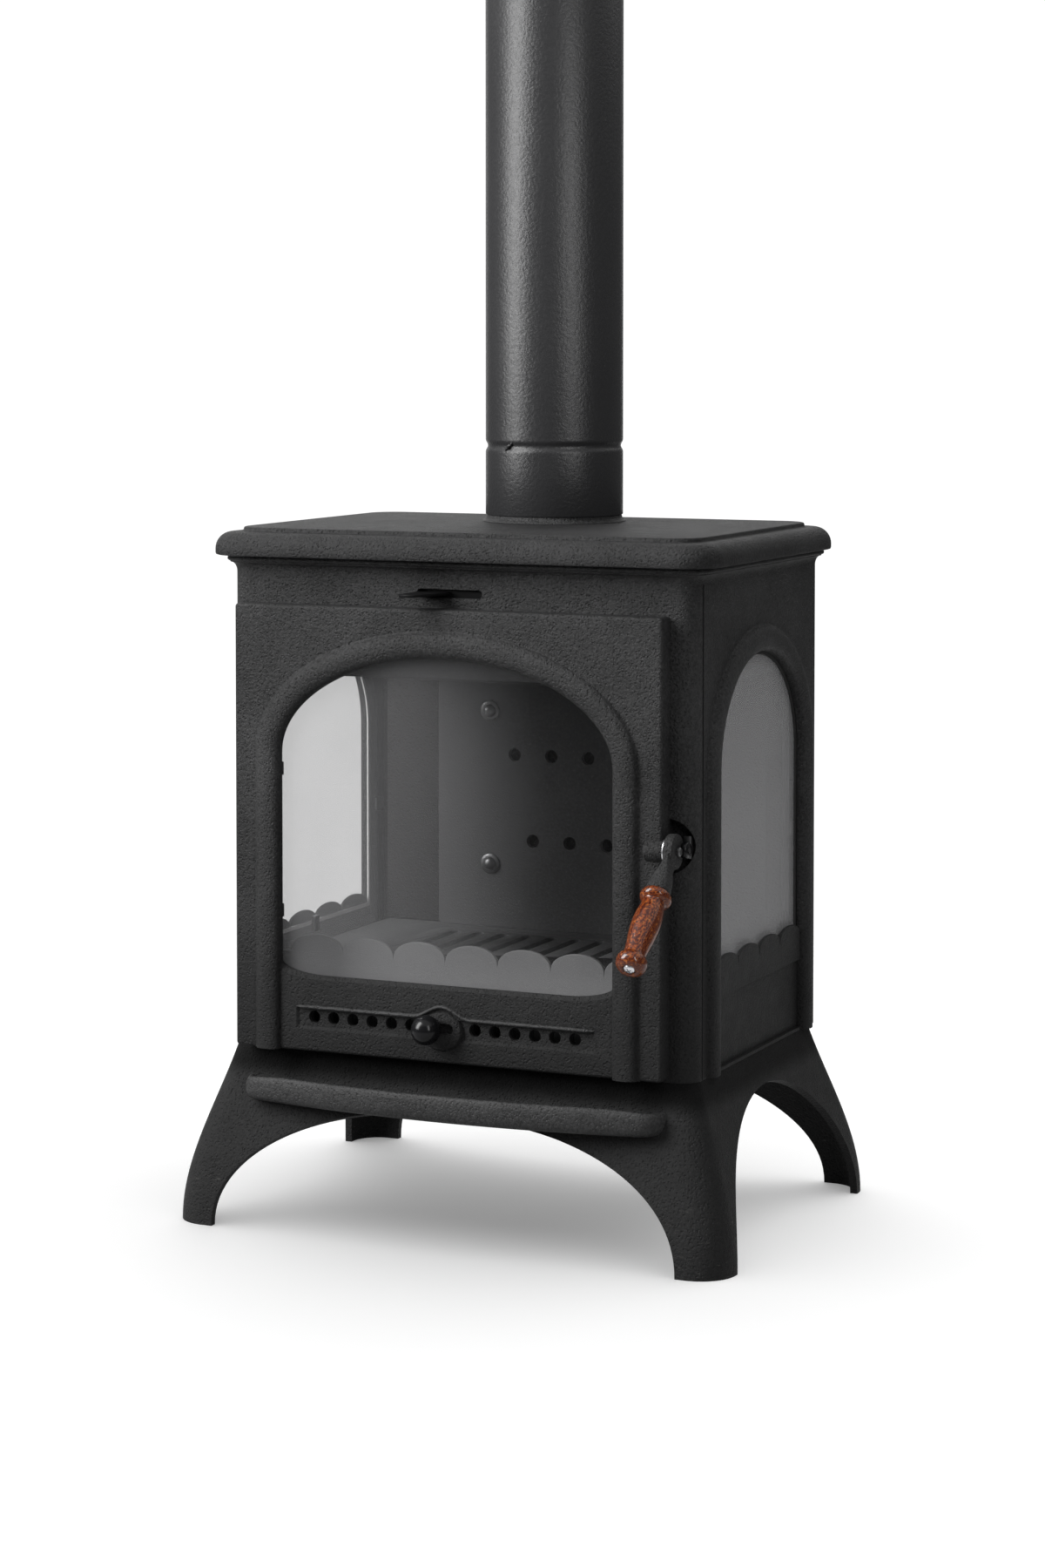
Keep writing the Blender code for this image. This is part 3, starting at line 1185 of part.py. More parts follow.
def make_fireback():
    stand = BED_TOP + SEAT
    top = BAFFLE_TOP - BAFFLE_THICKNESS - SEAT
    liner = prism("Y", LINER_Y, LINER_Y + LINER_THICKNESS, rectangle(-BED_HALF, stand, BED_HALF, top))
    add_object("rear_liner", liner, "liner_iron")
    back = LINER_Y - SEAT
    front = back - FIREBACK_THICKNESS
    holes = []
    for count, z in FIREBACK_ROWS:
        for k in range(count):
            x = FIREBACK_HOLE_PITCH * (k - (count - 1) / 2)
            holes.append(circle(FIREBACK_HOLE, 8, (x, z)))
    plate = rounded_rectangle(-FIREBACK_HALF, stand, FIREBACK_HALF, FIREBACK_HIGH, 0.004, 2)
    for side, hand in ((-1, "left"), (1, "right")):
        for level, z in FIREBACK_BOLTS:
            x = side * FIREBACK_BOLT_X
            holes.append(circle(0.0033, 10, (x, z)))
            head = front - SEAT
            profile = [(0, back - 0.001), (0.003, back - 0.001), (0.003, head), (0.0068, head)]
            profile += [(0.0062, head - 0.0025), (0.0035, head - 0.0045), (0, head - 0.005)]
            add_object("fireback_bolt_" + hand + "_" + level, turned(profile, (x, 0, z), "Y", 12), "steel")
    add_object("fireback", prism("Y", front, back, plate, holes), "liner_iron")
    rest = BAFFLE_TOP - BAFFLE_THICKNESS
    baffle = rectangle(-BED_HALF, BAFFLE_FRONT, BED_HALF, BODY_DEPTH - WALL - 0.024)
    add_object("baffle_plate", prism("Z", rest, BAFFLE_TOP, baffle), "liner_iron")
    t = DEFLECTOR_THICKNESS
    fold = DEFLECTOR_HIGH
    y0 = WALL + SEAT
    profile = [(y0, fold), (y0, fold - 0.014), (DEFLECTOR_OUT, DEFLECTOR_LOW), (DEFLECTOR_OUT + t, DEFLECTOR_LOW)]
    profile += [(DEFLECTOR_OUT + t, DEFLECTOR_LOW + 0.002), (y0 + t, fold - 0.013), (y0 + t, fold)]
    deflector = prism("X", -BED_HALF, BED_HALF, profile)
    add_object("airwash_deflector", deflector, "liner_iron")


def make_tie_rods():
    under = BASE_TOP - BASE_LEDGE_THICKNESS - SEAT
    for x, y in tie_places():
        name = "tie_rod_" + ("left" if x < 0 else "right") + ("_front" if y < PIPE_Y else "_rear")
        obj = add_object(name, cylinder(TIE_RADIUS, under - 0.003, TOP_LOW - SEAT, (x, y, 0), steps=12), "steel")
        boolean(obj, cylinder(TIE_HEAD_RADIUS, under - 0.005, under, (x, y, 0), steps=6), "UNION")


def centre_on_floor():
    """Moves the whole stove so that its footprint's middle is the origin."""
    bpy.context.view_layer.update()
    graph = bpy.context.evaluated_depsgraph_get()
    corners = []
    for obj in bpy.context.scene.objects:
        if obj.type == "MESH" and not obj.hide_render:
            ready = obj.evaluated_get(graph)
            corners += [ready.matrix_world @ vert.co for vert in ready.data.vertices]
    for axis in (0, 1):
        values = [corner[axis] for corner in corners]
        ORIGIN.location[axis] = -(min(values) + max(values)) / 2


def main():
    global ORIGIN
    clear_scene()
    ORIGIN = bpy.data.objects.new("stove", None)
    bpy.context.scene.collection.objects.link(ORIGIN)
    make_leg_base()
    make_front_frame()
    make_side("left_side", -1)
    make_side("right_side", 1)
    make_rear_plate()
    make_top_plate()
    make_flue()
    make_door()
    make_door_fittings()
    make_air_slide()
    make_upper_slide()
    make_handle()
    make_side_windows()
    make_firebox()
    make_tie_rods()
    centre_on_floor()


main()
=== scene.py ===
# %% [markdown]
# # Cast iron stove: the looks
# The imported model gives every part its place, so this script only adds what the eye sees: rounder
# castings laid over the plain ones, sand-cast iron, varnished wood, glass, light and the camera.

import math

import bmesh
import bpy
from mathutils import Matrix, Vector


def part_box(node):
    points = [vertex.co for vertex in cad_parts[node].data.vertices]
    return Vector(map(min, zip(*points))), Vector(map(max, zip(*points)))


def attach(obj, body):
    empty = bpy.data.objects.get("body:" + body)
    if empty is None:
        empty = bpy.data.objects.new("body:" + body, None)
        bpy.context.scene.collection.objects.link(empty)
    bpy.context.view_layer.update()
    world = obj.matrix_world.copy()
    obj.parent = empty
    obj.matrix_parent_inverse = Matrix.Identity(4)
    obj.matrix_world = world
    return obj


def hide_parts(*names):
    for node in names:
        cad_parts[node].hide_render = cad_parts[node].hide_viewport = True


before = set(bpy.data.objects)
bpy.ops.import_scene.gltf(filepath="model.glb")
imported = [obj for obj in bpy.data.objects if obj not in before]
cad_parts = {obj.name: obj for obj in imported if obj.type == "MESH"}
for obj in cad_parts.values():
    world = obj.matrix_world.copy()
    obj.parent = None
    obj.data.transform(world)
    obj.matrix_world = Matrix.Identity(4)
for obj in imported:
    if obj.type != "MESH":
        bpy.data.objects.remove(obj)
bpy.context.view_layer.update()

# %% [markdown]
# All lengths are metres. The drawing of the stove has y = 0 on the flat front of its body, but the
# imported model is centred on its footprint. The top plate overhangs the front by a known amount, so
# its box says how far the drawing has to be shifted. Reading the shift from the box is safer than
# typing it, because it stays right if the model is packed again.

# %% The stove's own measures
BODY_WIDTH = 0.458
BODY_DEPTH = 0.310
BODY_CORNER = 0.018
WALL = 0.006
HALF = BODY_WIDTH / 2
BASE_TOP = 0.161
BODY_TOP = 0.613
TOP_OVERHANG = 0.020
SEAT = 0.0003
FRONT_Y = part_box("top_plate")[0][1] + TOP_OVERHANG
print("body front at y =", round(FRONT_Y, 4))

# %% [markdown]
# A shader is a graph of nodes, and every sum in it is a Math node. It could be wired by hand, but it
# is easier to read as a sum. `Wire` holds a node's output socket, and its operators add the Math
# node that does the sum. Every other node comes from `Shader.node`, which takes the node's type,
# its settings and then what goes into its sockets, so all nodes are made in the same way.


# %% Shader sums
class Wire:
    """An output socket that can be added, multiplied and raised to a power."""

    def __init__(self, shader, socket):
        self.shader = shader
        self.socket = socket

    def math(self, operation, other):
        return self.shader.node("ShaderNodeMath", {"operation": operation}, {0: self, 1: other})

    def __add__(self, other):
        return self.math("ADD", other)

    def __sub__(self, other):
        return self.math("SUBTRACT", other)

    def __mul__(self, other):
        return self.math("MULTIPLY", other)

    def __pow__(self, other):
        return self.math("POWER", other)

    def __rsub__(self, other):
        return self * -1.0 + other

    __radd__ = __add__
    __rmul__ = __mul__


class Shader:
    """The nodes of a material or of the world."""

    def __init__(self, owner):
        owner.use_nodes = True
        self.tree = owner.node_tree
        self.tree.nodes.clear()

    def node(self, kind, settings=None, values=None, out=0):
        """Adds a node. Its sockets, by name or number, take wires, numbers or (r, g, b) colours."""
        node = self.tree.nodes.new(kind)
        for key, setting in (settings or {}).items():
            setattr(node, key, setting)
        for key, value in (values or {}).items():
            slot = node.inputs[key]
            if isinstance(value, Wire):
                self.tree.links.new(value.socket, slot)
            else:
                slot.default_value = (*value, 1.0) if slot.type == "RGBA" else value
        return Wire(self, node.outputs[out]) if len(node.outputs) else None

    def ramp(self, value, low, high, start=0.0, end=1.0):
        """Start below low, end above high and a smooth step between."""
        limits = {"From Min": low, "From Max": high, "To Min": start, "To Max": end}
        return self.node("ShaderNodeMapRange", {"interpolation_type": "SMOOTHSTEP"}, {"Value": value, **limits})


# %% [markdown]
# Every finish of the stove needs the same few things: noise at some scale, a blend of two colours,
# a bump and the closing shader. `Finish` is a `Shader` that has them as short methods. Its patterns
# lie on Object coordinates, which are metres here, so a scale is simply a number of spots per metre
# and a pattern stays on its piece when the door swings.

# %% Finishes
MIX_SHARE, MIX_ONE, MIX_TWO, MIX_RESULT = 0, 6, 7, 2  # a Mix node's sockets for colours


class Finish(Shader):
    """A material in the making. surface() closes it and gives it back."""

    def __init__(self, name):
        self.material = bpy.data.materials.new(name)
        super().__init__(self.material)
        self.place = self.node("ShaderNodeTexCoord", out="Object")

    def along(self, axis):
        """How far a point of the surface lies along X, Y or Z."""
        return self.node("ShaderNodeSeparateXYZ", values={"Vector": self.place}, out=axis)

    def noise(self, scale, detail=2.0, roughness=0.5, at=None):
        values = {"Vector": at or self.place, "Scale": scale, "Detail": detail, "Roughness": roughness}
        return self.node("ShaderNodeTexNoise", values=values)

    def cells(self, scale):
        return self.node("ShaderNodeTexVoronoi", values={"Vector": self.place, "Scale": scale}, out="Distance")

    def blend(self, share, one, two):
        """A colour between two, each a wire or a tuple."""
        values = {MIX_SHARE: share, MIX_ONE: one, MIX_TWO: two}
        return self.node("ShaderNodeMix", {"data_type": "RGBA"}, values, out=MIX_RESULT)

    def bump(self, height, distance, under=None):
        values = {"Height": height, "Distance": distance, "Strength": 1.0}
        if under:
            values["Normal"] = under
        return self.node("ShaderNodeBump", values=values)

    def surface(self, color, roughness, normal=None, **others):
        values = {"Base Color": color, "Roughness": roughness}
        if normal:
            values["Normal"] = normal
        for key, value in others.items():
            values[key.replace("_", " ")] = value
        shader = self.node("ShaderNodeBsdfPrincipled", values=values)
        self.node("ShaderNodeOutputMaterial", values={"Surface": shader})
        print("finish:", self.material.name)
        return self.material


# %% [markdown]
# The body is sand-cast iron under matte stove paint. The sand leaves a grain of one to three
# millimetres, and a casting is never quite flat, so a faint swell of a few centimetres lies under
# the grain. An image of real iron would do it too, but noise needs no file and has no seams. Dust
# makes the paint paler in clouds. The front is painted blacker towards the floor, as the photograph
# shows: a painted shade that holds back the light the white floor throws up. The feet have pale
# scuffs where shoes and brooms touch them.

# %% Cast iron
SAND, PITS, SWELL, CLOUD, SMEAR = 400.0, 340.0, 28.0, 9.0, 60.0
SAND_DEPTH, SWELL_DEPTH = 0.0028, 0.0009
BLACK_BELOW, CLEAR_ABOVE = 0.10, 0.46
SCUFF_COLOR = (0.055, 0.053, 0.050)
# painted shadow: the colour of the band under the door
SHADOW_BLACK = (0.0003, 0.0003, 0.0003)


def shaded(color, share):
    return tuple(channel * share for channel in color)


def cast_iron(name, color, grain=1.0, roughness=0.50, pale=1.8, low_shade=0.0, scuffed=0.0, joint=None):
    """Painted casting. Its share of painted shade says how much blacker it is near the floor.

    Below the height scuffed it has pale scuffs, and between the two joint heights it turns black: a painted
    shadow, where the door shades the base.
    """
    finish = Finish(name)
    sand = finish.noise(SAND, detail=4.0, roughness=0.72)
    pits = finish.ramp(finish.cells(PITS), 0.10, 0.42)
    cloud = finish.noise(CLOUD, detail=4.0, roughness=0.6)
    rough = finish.bump(sand * 0.55 + pits * 0.25, SAND_DEPTH * grain)
    normal = finish.bump(finish.noise(SWELL), SWELL_DEPTH, under=rough)
    dust = finish.ramp(cloud * 0.35 + sand * 0.65, 0.40, 0.62)
    shade = finish.blend(dust, shaded(color, 1 - 0.48 * (pale - 1)), shaded(color, pale))
    height = finish.along("Z")
    # painted shade: the colour darkens towards the floor, against the floor's bounce light
    near_floor = 1 - finish.ramp(height, BLACK_BELOW, CLEAR_ABOVE)
    shade = finish.blend(near_floor * low_shade, shade, shaded(color, 0.2))
    if scuffed:
        low = 1 - finish.ramp(height, 0.2 * scuffed, scuffed)
        dragged = finish.node("ShaderNodeMapping", values={"Vector": finish.place, "Scale": (1.0, 1.0, 6.0)})
        marks = finish.ramp(finish.noise(70.0, detail=5.0, roughness=0.7, at=dragged), 0.60, 0.74)
        shade = finish.blend(marks * low * 0.8, shade, SCUFF_COLOR)
    gloss = finish.noise(SMEAR) * 0.14 + (roughness - 0.07) + near_floor * (low_shade * 0.20)
    # painted shadow: black between the two heights, where the door shades the base's top
    if joint:
        door_shadow = finish.ramp(height, *joint)
        shade = finish.blend(door_shadow, shade, SHADOW_BLACK)
        gloss = gloss + door_shadow * 0.3
    return finish.surface(shade, gloss, normal, Specular_IOR_Level=0.14)


# %% [markdown]
# One recipe gives all the castings. The top is matter, and darker as a painted shade. The lip and
# the rib are smoother and paler, a painted highlight. The base is darker too, a painted shade, and it
# turns black under the door in a painted shadow. The plates that stand in the fire are paler and
# finer, because their paint has burnt off.

# %% The castings' finishes
# painted shade: the body's iron is painted blacker towards the floor
IRON = cast_iron("sand-cast iron, black paint", (0.0115, 0.0115, 0.0117), low_shade=0.92)
# painted shade: the top is a darker copy of the iron, to hold back the overhead light
SHADED_TOP_IRON = cast_iron("sand-cast iron, top, painted shade", (0.0085, 0.0085, 0.0087), roughness=0.56)
# painted highlight: a paler, smoother copy of the iron, so that the lip and the rib read as lit
HIGHLIGHT_IRON = cast_iron(
    "sand-cast iron, painted highlight", (0.0150, 0.0150, 0.0152), grain=0.6, roughness=0.44, low_shade=0.25
)
# painted shade: a darker copy of the iron for the base, against the floor's bounce light
SHADED_BASE_IRON = cast_iron(
    "sand-cast iron, scuffed feet, painted shade", (0.0080, 0.0080, 0.0082), low_shade=0.7, scuffed=0.085, joint=(0.129, 0.148)
)
LINER_IRON = cast_iron("firebox iron", (0.040, 0.040, 0.0408), grain=0.22, roughness=0.66, pale=1.2)
SOOTED_IRON = cast_iron("sooted iron", (0.010, 0.010, 0.010), grain=0.8, roughness=0.70)
GUARD_IRON = cast_iron("log guard iron", (0.064, 0.064, 0.065), grain=0.08, roughness=0.66, pale=1.1)


# %% [markdown]
# The flue pipe is rolled sheet, so it has no sand grain: the heat paint dries with a fine orange
# peel, and long soft reflections run down it. The peel has to stay very shallow, because a deeper
# one would scatter those reflections until the pipe looks flat.


# %% Flue pipe paint
def pipe_paint():
    finish = Finish("flue pipe paint")
    peel = finish.noise(340.0, detail=3.0, roughness=0.60)
    fine = finish.noise(2400.0, detail=1.0)
    normal = finish.bump(peel * 0.9 + fine * 0.1, 0.0005)
    shade = finish.blend(finish.noise(7.0, detail=3.0), (0.010, 0.010, 0.0105), (0.014, 0.014, 0.0145))
    return finish.surface(shade, peel * 0.24 + 0.21, normal, Specular_IOR_Level=0.16)


PIPE_PAINT = pipe_paint()


# %% [markdown]
# The small parts share one recipe with fine scratches and a faint stain: bare dark steel for clips
# and bolts, bright zinc for the washer and the end screw, black steel for the slides, the cement
# in the joint and the painted shadow strip under the scallops, and a gloss black for the knob and
# the roller. Only Metallic tells bare metal from paint here. The pale tape and the black tape at
# the side panes are the same recipe unpolished; the black one is a painted shade.


# %% Steel, zinc, gloss black and glass tape
def steel(name, color, roughness, scratch=0.0001, metallic=1.0, **others):
    finish = Finish(name)
    stain = finish.noise(50.0, detail=3.0)
    normal = finish.bump(finish.noise(900.0), scratch)
    shade = finish.blend(stain, shaded(color, 0.75), color)
    return finish.surface(shade, stain * 0.16 + (roughness - 0.08), normal, Metallic=metallic, **others)


DARK_STEEL = steel("dark steel", (0.11, 0.11, 0.112), 0.42)
ZINC = steel("zinc plate", (0.62, 0.62, 0.64), 0.26, scratch=0.00005)
BLACK_STEEL = steel("black steel", (0.004, 0.004, 0.0042), 0.50, metallic=0.0, Specular_IOR_Level=0.06)
GLOSS_BLACK = steel(
    "gloss black", (0.004, 0.004, 0.0045), 0.22, scratch=0.00002, metallic=0.0, Specular_IOR_Level=0.14
)
SEAL = steel("pale glass seal", (0.62, 0.62, 0.61), 0.50, metallic=0.0)
# painted shade: a black copy of the pale tape, for the side that lies in shade
SHADED_SEAL = steel("glass seal, painted shade", (0.020, 0.020, 0.020), 0.60, metallic=0.0, Specular_IOR_Level=0.1)


# %% [markdown]
# The grip is turned from one piece of reddish wood, and the varnish over it is thick and glossy. A
# Wave texture in rings is the trunk: it is tilted and set off to one side by a Mapping node, as the
# blank was sawn from beside the heart, so the lathe cuts the rings into ovals and wavy bands. Paler
# flecks and dark pores are noise. A clear coat is the varnish, and only the wood below it is rough.

# %% Varnished wood
WOOD_DARK, WOOD_WARM = (0.018, 0.0021, 0.0004), (0.036, 0.0046, 0.0007)
WOOD_BAND, WOOD_FLECK, WOOD_PORE = (0.115, 0.021, 0.0022), (0.32, 0.095, 0.016), (0.020, 0.005, 0.002)
TRUNK = {
    "Location": (-0.2150, 0.0, 0.0),
    "Rotation": (math.radians(52.0), math.radians(12.0), math.radians(8.0)),
}
RINGS = {"Scale": 230.0, "Distortion": 8.0, "Detail": 3.0, "Detail Scale": 1.0}


def varnished_wood():
    finish = Finish("varnished wood")
    trunk = finish.node("ShaderNodeMapping", values={"Vector": finish.place, **TRUNK})
    style = {"wave_type": "RINGS", "rings_direction": "Z", "wave_profile": "SIN"}
    rings = finish.node("ShaderNodeTexWave", style, {"Vector": trunk, **RINGS})
    drift = finish.noise(34.0, detail=3.0, roughness=0.6, at=trunk)
    figure = finish.noise(420.0, at=trunk)
    pores = finish.ramp(finish.noise(1300.0, roughness=0.7), 0.56, 0.70)
    warm = finish.blend(drift, WOOD_DARK, WOOD_WARM)
    banded = finish.blend(finish.ramp(rings, 0.45, 0.95) * 0.80, warm, WOOD_BAND)
    flecked = finish.blend(finish.ramp(figure, 0.50, 0.72) * 0.45, banded, WOOD_FLECK)
    shade = finish.blend(pores * 0.55, flecked, WOOD_PORE)
    normal = finish.bump(rings * 0.5 + pores * -0.8, 0.00022)
    return finish.surface(shade, 0.40, normal, Coat_Weight=0.40, Coat_Roughness=0.05, Specular_IOR_Level=0.08)


WOOD = varnished_wood()


# %% [markdown]
# Stove glass is clear, but it carries a faint grey haze from smoke, and at a slanting angle it
# mirrors the pale room. Real transmission would be slow and noisy behind a thin pane, so Alpha does
# it: a grey colour, partly haze and partly a painted reflection of the room, hides a share of what
# lies behind, and it rises with the slant, which Layer Weight's Facing output gives. On the door's
# glass the painted reflection is thicker on the left, where the lamp on the left shows in it, and
# along the sill, where the pale floor shows. The door's rope seal is woven glass fibre, and small
# cells read as its weave at this size.


# %% Glass and rope
def stove_glass(name, haze, slant, color, reflection_fade=None):
    """Glass whose haze and painted reflection hide a share of what lies behind it, more at a slant.

    The two x values of the fade say where the painted reflection of the lamp on the left thins out;
    along the sill a painted reflection of the pale floor stays.
    """
    finish = Finish(name)
    facing = finish.node("ShaderNodeLayerWeight", values={"Blend": 0.5}, out="Facing")
    haze_and_reflection = finish.noise(7.0, detail=3.0) * 0.25 + 0.875
    # painted reflection: the veil is thicker on the left, for the lamp there, and along the sill, for the floor
    if reflection_fade:
        clear = finish.ramp(finish.along("X"), *reflection_fade) * 0.94
        sill_reflection = 1 - finish.ramp(finish.along("Z"), 0.225, 0.285)
        haze_and_reflection = haze_and_reflection * (1 - clear * (1 - sill_reflection * 0.85)) * (sill_reflection * 0.35 + 1)
    alpha = (facing**1.4 * slant + haze) * haze_and_reflection
    return finish.surface(color, 0.05, Alpha=alpha, Specular_IOR_Level=0.25)


def rope_seal():
    finish = Finish("glass rope")
    weave = finish.cells(900.0)
    shade = finish.blend(weave, (0.20, 0.20, 0.19), (0.42, 0.41, 0.39))
    return finish.surface(shade, 0.95, finish.bump(weave, 0.0005))


DOOR_GLASS = stove_glass("door glass", 0.056, 0.25, (0.26, 0.26, 0.265), reflection_fade=(-0.07, 0.10))
SIDE_GLASS = stove_glass("side glass", 0.10, 0.46, (0.31, 0.31, 0.315))
ROPE = rope_seal()

# %% [markdown]
# A few ways of making a shape cover nearly all of the stove. A `skin` is one grid laid over rows of
# points, which suits swept mouldings, and a `loft` is a closed skin through a stack of outlines. A
# `plate` is a flat outline with holes, pushed to a thickness. A `turned` piece is a profile spun
# about an axis. Each is a bmesh operator or two, so the faces come out clean and pointing outwards.

# %% Shapes
PLANES = {"X": (1, 2, 0), "Y": (0, 2, 1), "Z": (0, 1, 2)}
TURN_TO = {
    "X": Matrix.Rotation(math.pi / 2, 3, "Y"),
    "Y": Matrix.Rotation(-math.pi / 2, 3, "X"),
    "Z": Matrix.Identity(3),
}
TOUCHING = 1e-6


def placed(u, v, w, axis):
    """The point at u and v in the plane across an axis, and at w along it."""
    point = [0.0, 0.0, 0.0]
    for value, index in zip((u, v, w), PLANES[axis]):
        point[index] = value
    return Vector(point)


def skin(rows, capped=False):
    """A grid whose vertices lie on rows of points. Rows that end where they began close up."""
    bm = bmesh.new()
    across, up = len(rows[0]) - 1, len(rows) - 1
    bmesh.ops.create_grid(bm, x_segments=across, y_segments=up, size=1.0)
    for vert in bm.verts:
        column = round((vert.co.x + 1) / 2 * across)
        row = round((vert.co.y + 1) / 2 * up)
        vert.co = rows[row][column]
    bmesh.ops.remove_doubles(bm, verts=bm.verts, dist=TOUCHING)
    if capped:
        rim = [edge for edge in bm.edges if edge.is_boundary]
        bmesh.ops.holes_fill(bm, edges=rim, sides=0)
    bmesh.ops.recalc_face_normals(bm, faces=bm.faces)
    return bm


def loft(axis, layers):
    """A closed solid through layers, each its place along the axis and its outline."""
    return skin([[placed(u, v, w, axis) for u, v in line + line[:1]] for w, line in layers], capped=True)


def plate(axis, low, high, outline, holes=()):
    bm = bmesh.new()
    for loop in (outline, *holes):
        verts = [bm.verts.new(placed(u, v, low, axis)) for u, v in loop]
        for k, vert in enumerate(verts):
            bm.edges.new((verts[k - 1], vert))
    bmesh.ops.triangle_fill(bm, use_beauty=True, use_dissolve=False, edges=bm.edges)
    pushed = bmesh.ops.extrude_face_region(bm, geom=bm.faces[:])
    moved = [item for item in pushed["geom"] if isinstance(item, bmesh.types.BMVert)]
    bmesh.ops.translate(bm, verts=moved, vec=placed(0, 0, high - low, axis))
    bmesh.ops.recalc_face_normals(bm, faces=bm.faces)
    return bm


def turned(profile, middle, axis="Z", steps=48, ring=False):
    """Spins (radius, height) pairs about an axis through middle. A ring's profile closes up."""
    bm = bmesh.new()
    verts = [bm.verts.new((radius, 0, height)) for radius, height in profile]
    edges = [bm.edges.new(pair) for pair in zip(verts, verts[1:])]
    if ring:
        edges.append(bm.edges.new((verts[-1], verts[0])))
    bmesh.ops.spin(
        bm, geom=verts + edges, axis=(0, 0, 1), cent=(0, 0, 0), steps=steps, angle=2 * math.pi, use_merge=True
    )
    bmesh.ops.remove_doubles(bm, verts=bm.verts, dist=TOUCHING)
    bmesh.ops.rotate(bm, verts=bm.verts, matrix=TURN_TO[axis], cent=(0, 0, 0))
    bmesh.ops.translate(bm, verts=bm.verts, vec=middle)
    bmesh.ops.recalc_face_normals(bm, faces=bm.faces)
    return bm


def rod(radius, low, high, middle, axis="Z", steps=32):
    return turned([(0, low), (radius, low), (radius, high), (0, high)], middle, axis, steps)


# %% [markdown]
# Outlines are lists of pairs. An arc of an ellipse is the only curve that the pattern maker needs:
# it makes rounded corners, ovals, arches and the eyes of the hinges.


# %% Outlines
def arc(middle, half_u, half_v, start, end, steps):
    """Points of an ellipse between two angles, both ends included."""
    angles = [start + (end - start) * k / steps for k in range(steps + 1)]
    return [(middle[0] + half_u * math.cos(a), middle[1] + half_v * math.sin(a)) for a in angles]


def oval(middle, half_u, half_v, steps=32):
    return arc(middle, half_u, half_v, 0.0, 2 * math.pi, steps)[:-1]


def rectangle(u0, v0, u1, v1):
    return [(u0, v0), (u1, v0), (u1, v1), (u0, v1)]


def round_rectangle(u0, v0, u1, v1, radius, steps=6):
    points = []
    corners = ((u1, v1, -1, -1, 0), (u0, v1, 1, -1, 1), (u0, v0, 1, 1, 2), (u1, v0, -1, 1, 3))
    for u, v, du, dv, quarter in corners:
        for k in range(steps + 1):
            angle = math.pi / 2 * (quarter + k / steps)
            points.append((u + radius * (du + math.cos(angle)), v + radius * (dv + math.sin(angle))))
    return points


# %% [markdown]
# Pieces that cross, such as a plate and the cutter for its window, are worked out by Boolean
# modifiers on two short-lived objects, since bmesh has no Boolean of its own. The result is read
# back as a bmesh and the objects go. Parts that only touch are merged, which keeps their faces.

# %% Boolean work
SAME_POINT = 2e-6
FLAT = math.radians(0.2)


def as_object(bm, name):
    mesh = bpy.data.meshes.new(name)
    bm.to_mesh(mesh)
    bm.free()
    obj = bpy.data.objects.new(name, mesh)
    bpy.context.scene.collection.objects.link(obj)
    return obj


def worked(body, cuts=(), adds=()):
    """The body with every solid of adds joined to it and then every solid of cuts taken away."""
    block = as_object(body, "block")
    tools = []
    for operation, solids in (("UNION", adds), ("DIFFERENCE", cuts)):
        for solid in solids:
            tool = as_object(solid, "tool")
            step = block.modifiers.new(operation, "BOOLEAN")
            step.operation = operation
            step.object = tool
            tools.append(tool)
    bpy.context.view_layer.update()
    shaped = block.evaluated_get(bpy.context.evaluated_depsgraph_get())
    result = bmesh.new()
    result.from_mesh(shaped.data)
    for obj in (block, *tools):
        mesh = obj.data
        bpy.data.objects.remove(obj, do_unlink=True)
        bpy.data.meshes.remove(mesh)
    bmesh.ops.remove_doubles(result, verts=result.verts, dist=SAME_POINT)
    bmesh.ops.dissolve_limit(result, angle_limit=FLAT, verts=result.verts, edges=result.edges)
    return result


def merged(*parts):
    whole = bmesh.new()
    for part in parts:
        mesh = bpy.data.meshes.new("part")
        part.to_mesh(mesh)
        part.free()
        whole.from_mesh(mesh)
        bpy.data.meshes.remove(mesh)
    return whole


# %% [markdown]
# Every piece is finished in the same way: shifted into the imported model's place, shaded smooth,
# given to the body that it moves with and to a material slot, and the imported part that it stands
# for is hidden. Its sharp edges get a bevel where the casting shows a radius, and are only marked
# sharp where the profile already has one.


# %% Finished pieces
def finish_piece(name, bm, material, body, nodes=(), edge=0.0, segments=3, angle=30.0, smooth=40.0):
    """Makes a piece. Edge is the bevel's width, angle or smooth says which edges count as sharp."""
    bmesh.ops.translate(bm, verts=bm.verts, vec=(0, FRONT_Y, 0))
    obj = as_object(bm, name)
    obj.data.shade_smooth()
    if edge:
        bevel = obj.modifiers.new("edge", "BEVEL")
        bevel.width = edge
        bevel.segments = segments
        bevel.limit_method = "ANGLE"
        bevel.angle_limit = math.radians(angle)
        bevel.harden_normals = True
    else:
        obj.data.set_sharp_from_angle(angle=math.radians(smooth))
    obj.data.materials.append(material)
    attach(obj, body)
    for node in nodes:
        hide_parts(node)
    print(name, len(obj.data.polygons), "faces")
    return obj


# %% [markdown]
# Many small castings are right as they are, except that their edges are knife sharp. They could be
# drawn again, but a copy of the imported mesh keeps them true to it: its loose triangles are merged
# into faces, and it takes a small bevel, as a real casting has a small radius on every edge.


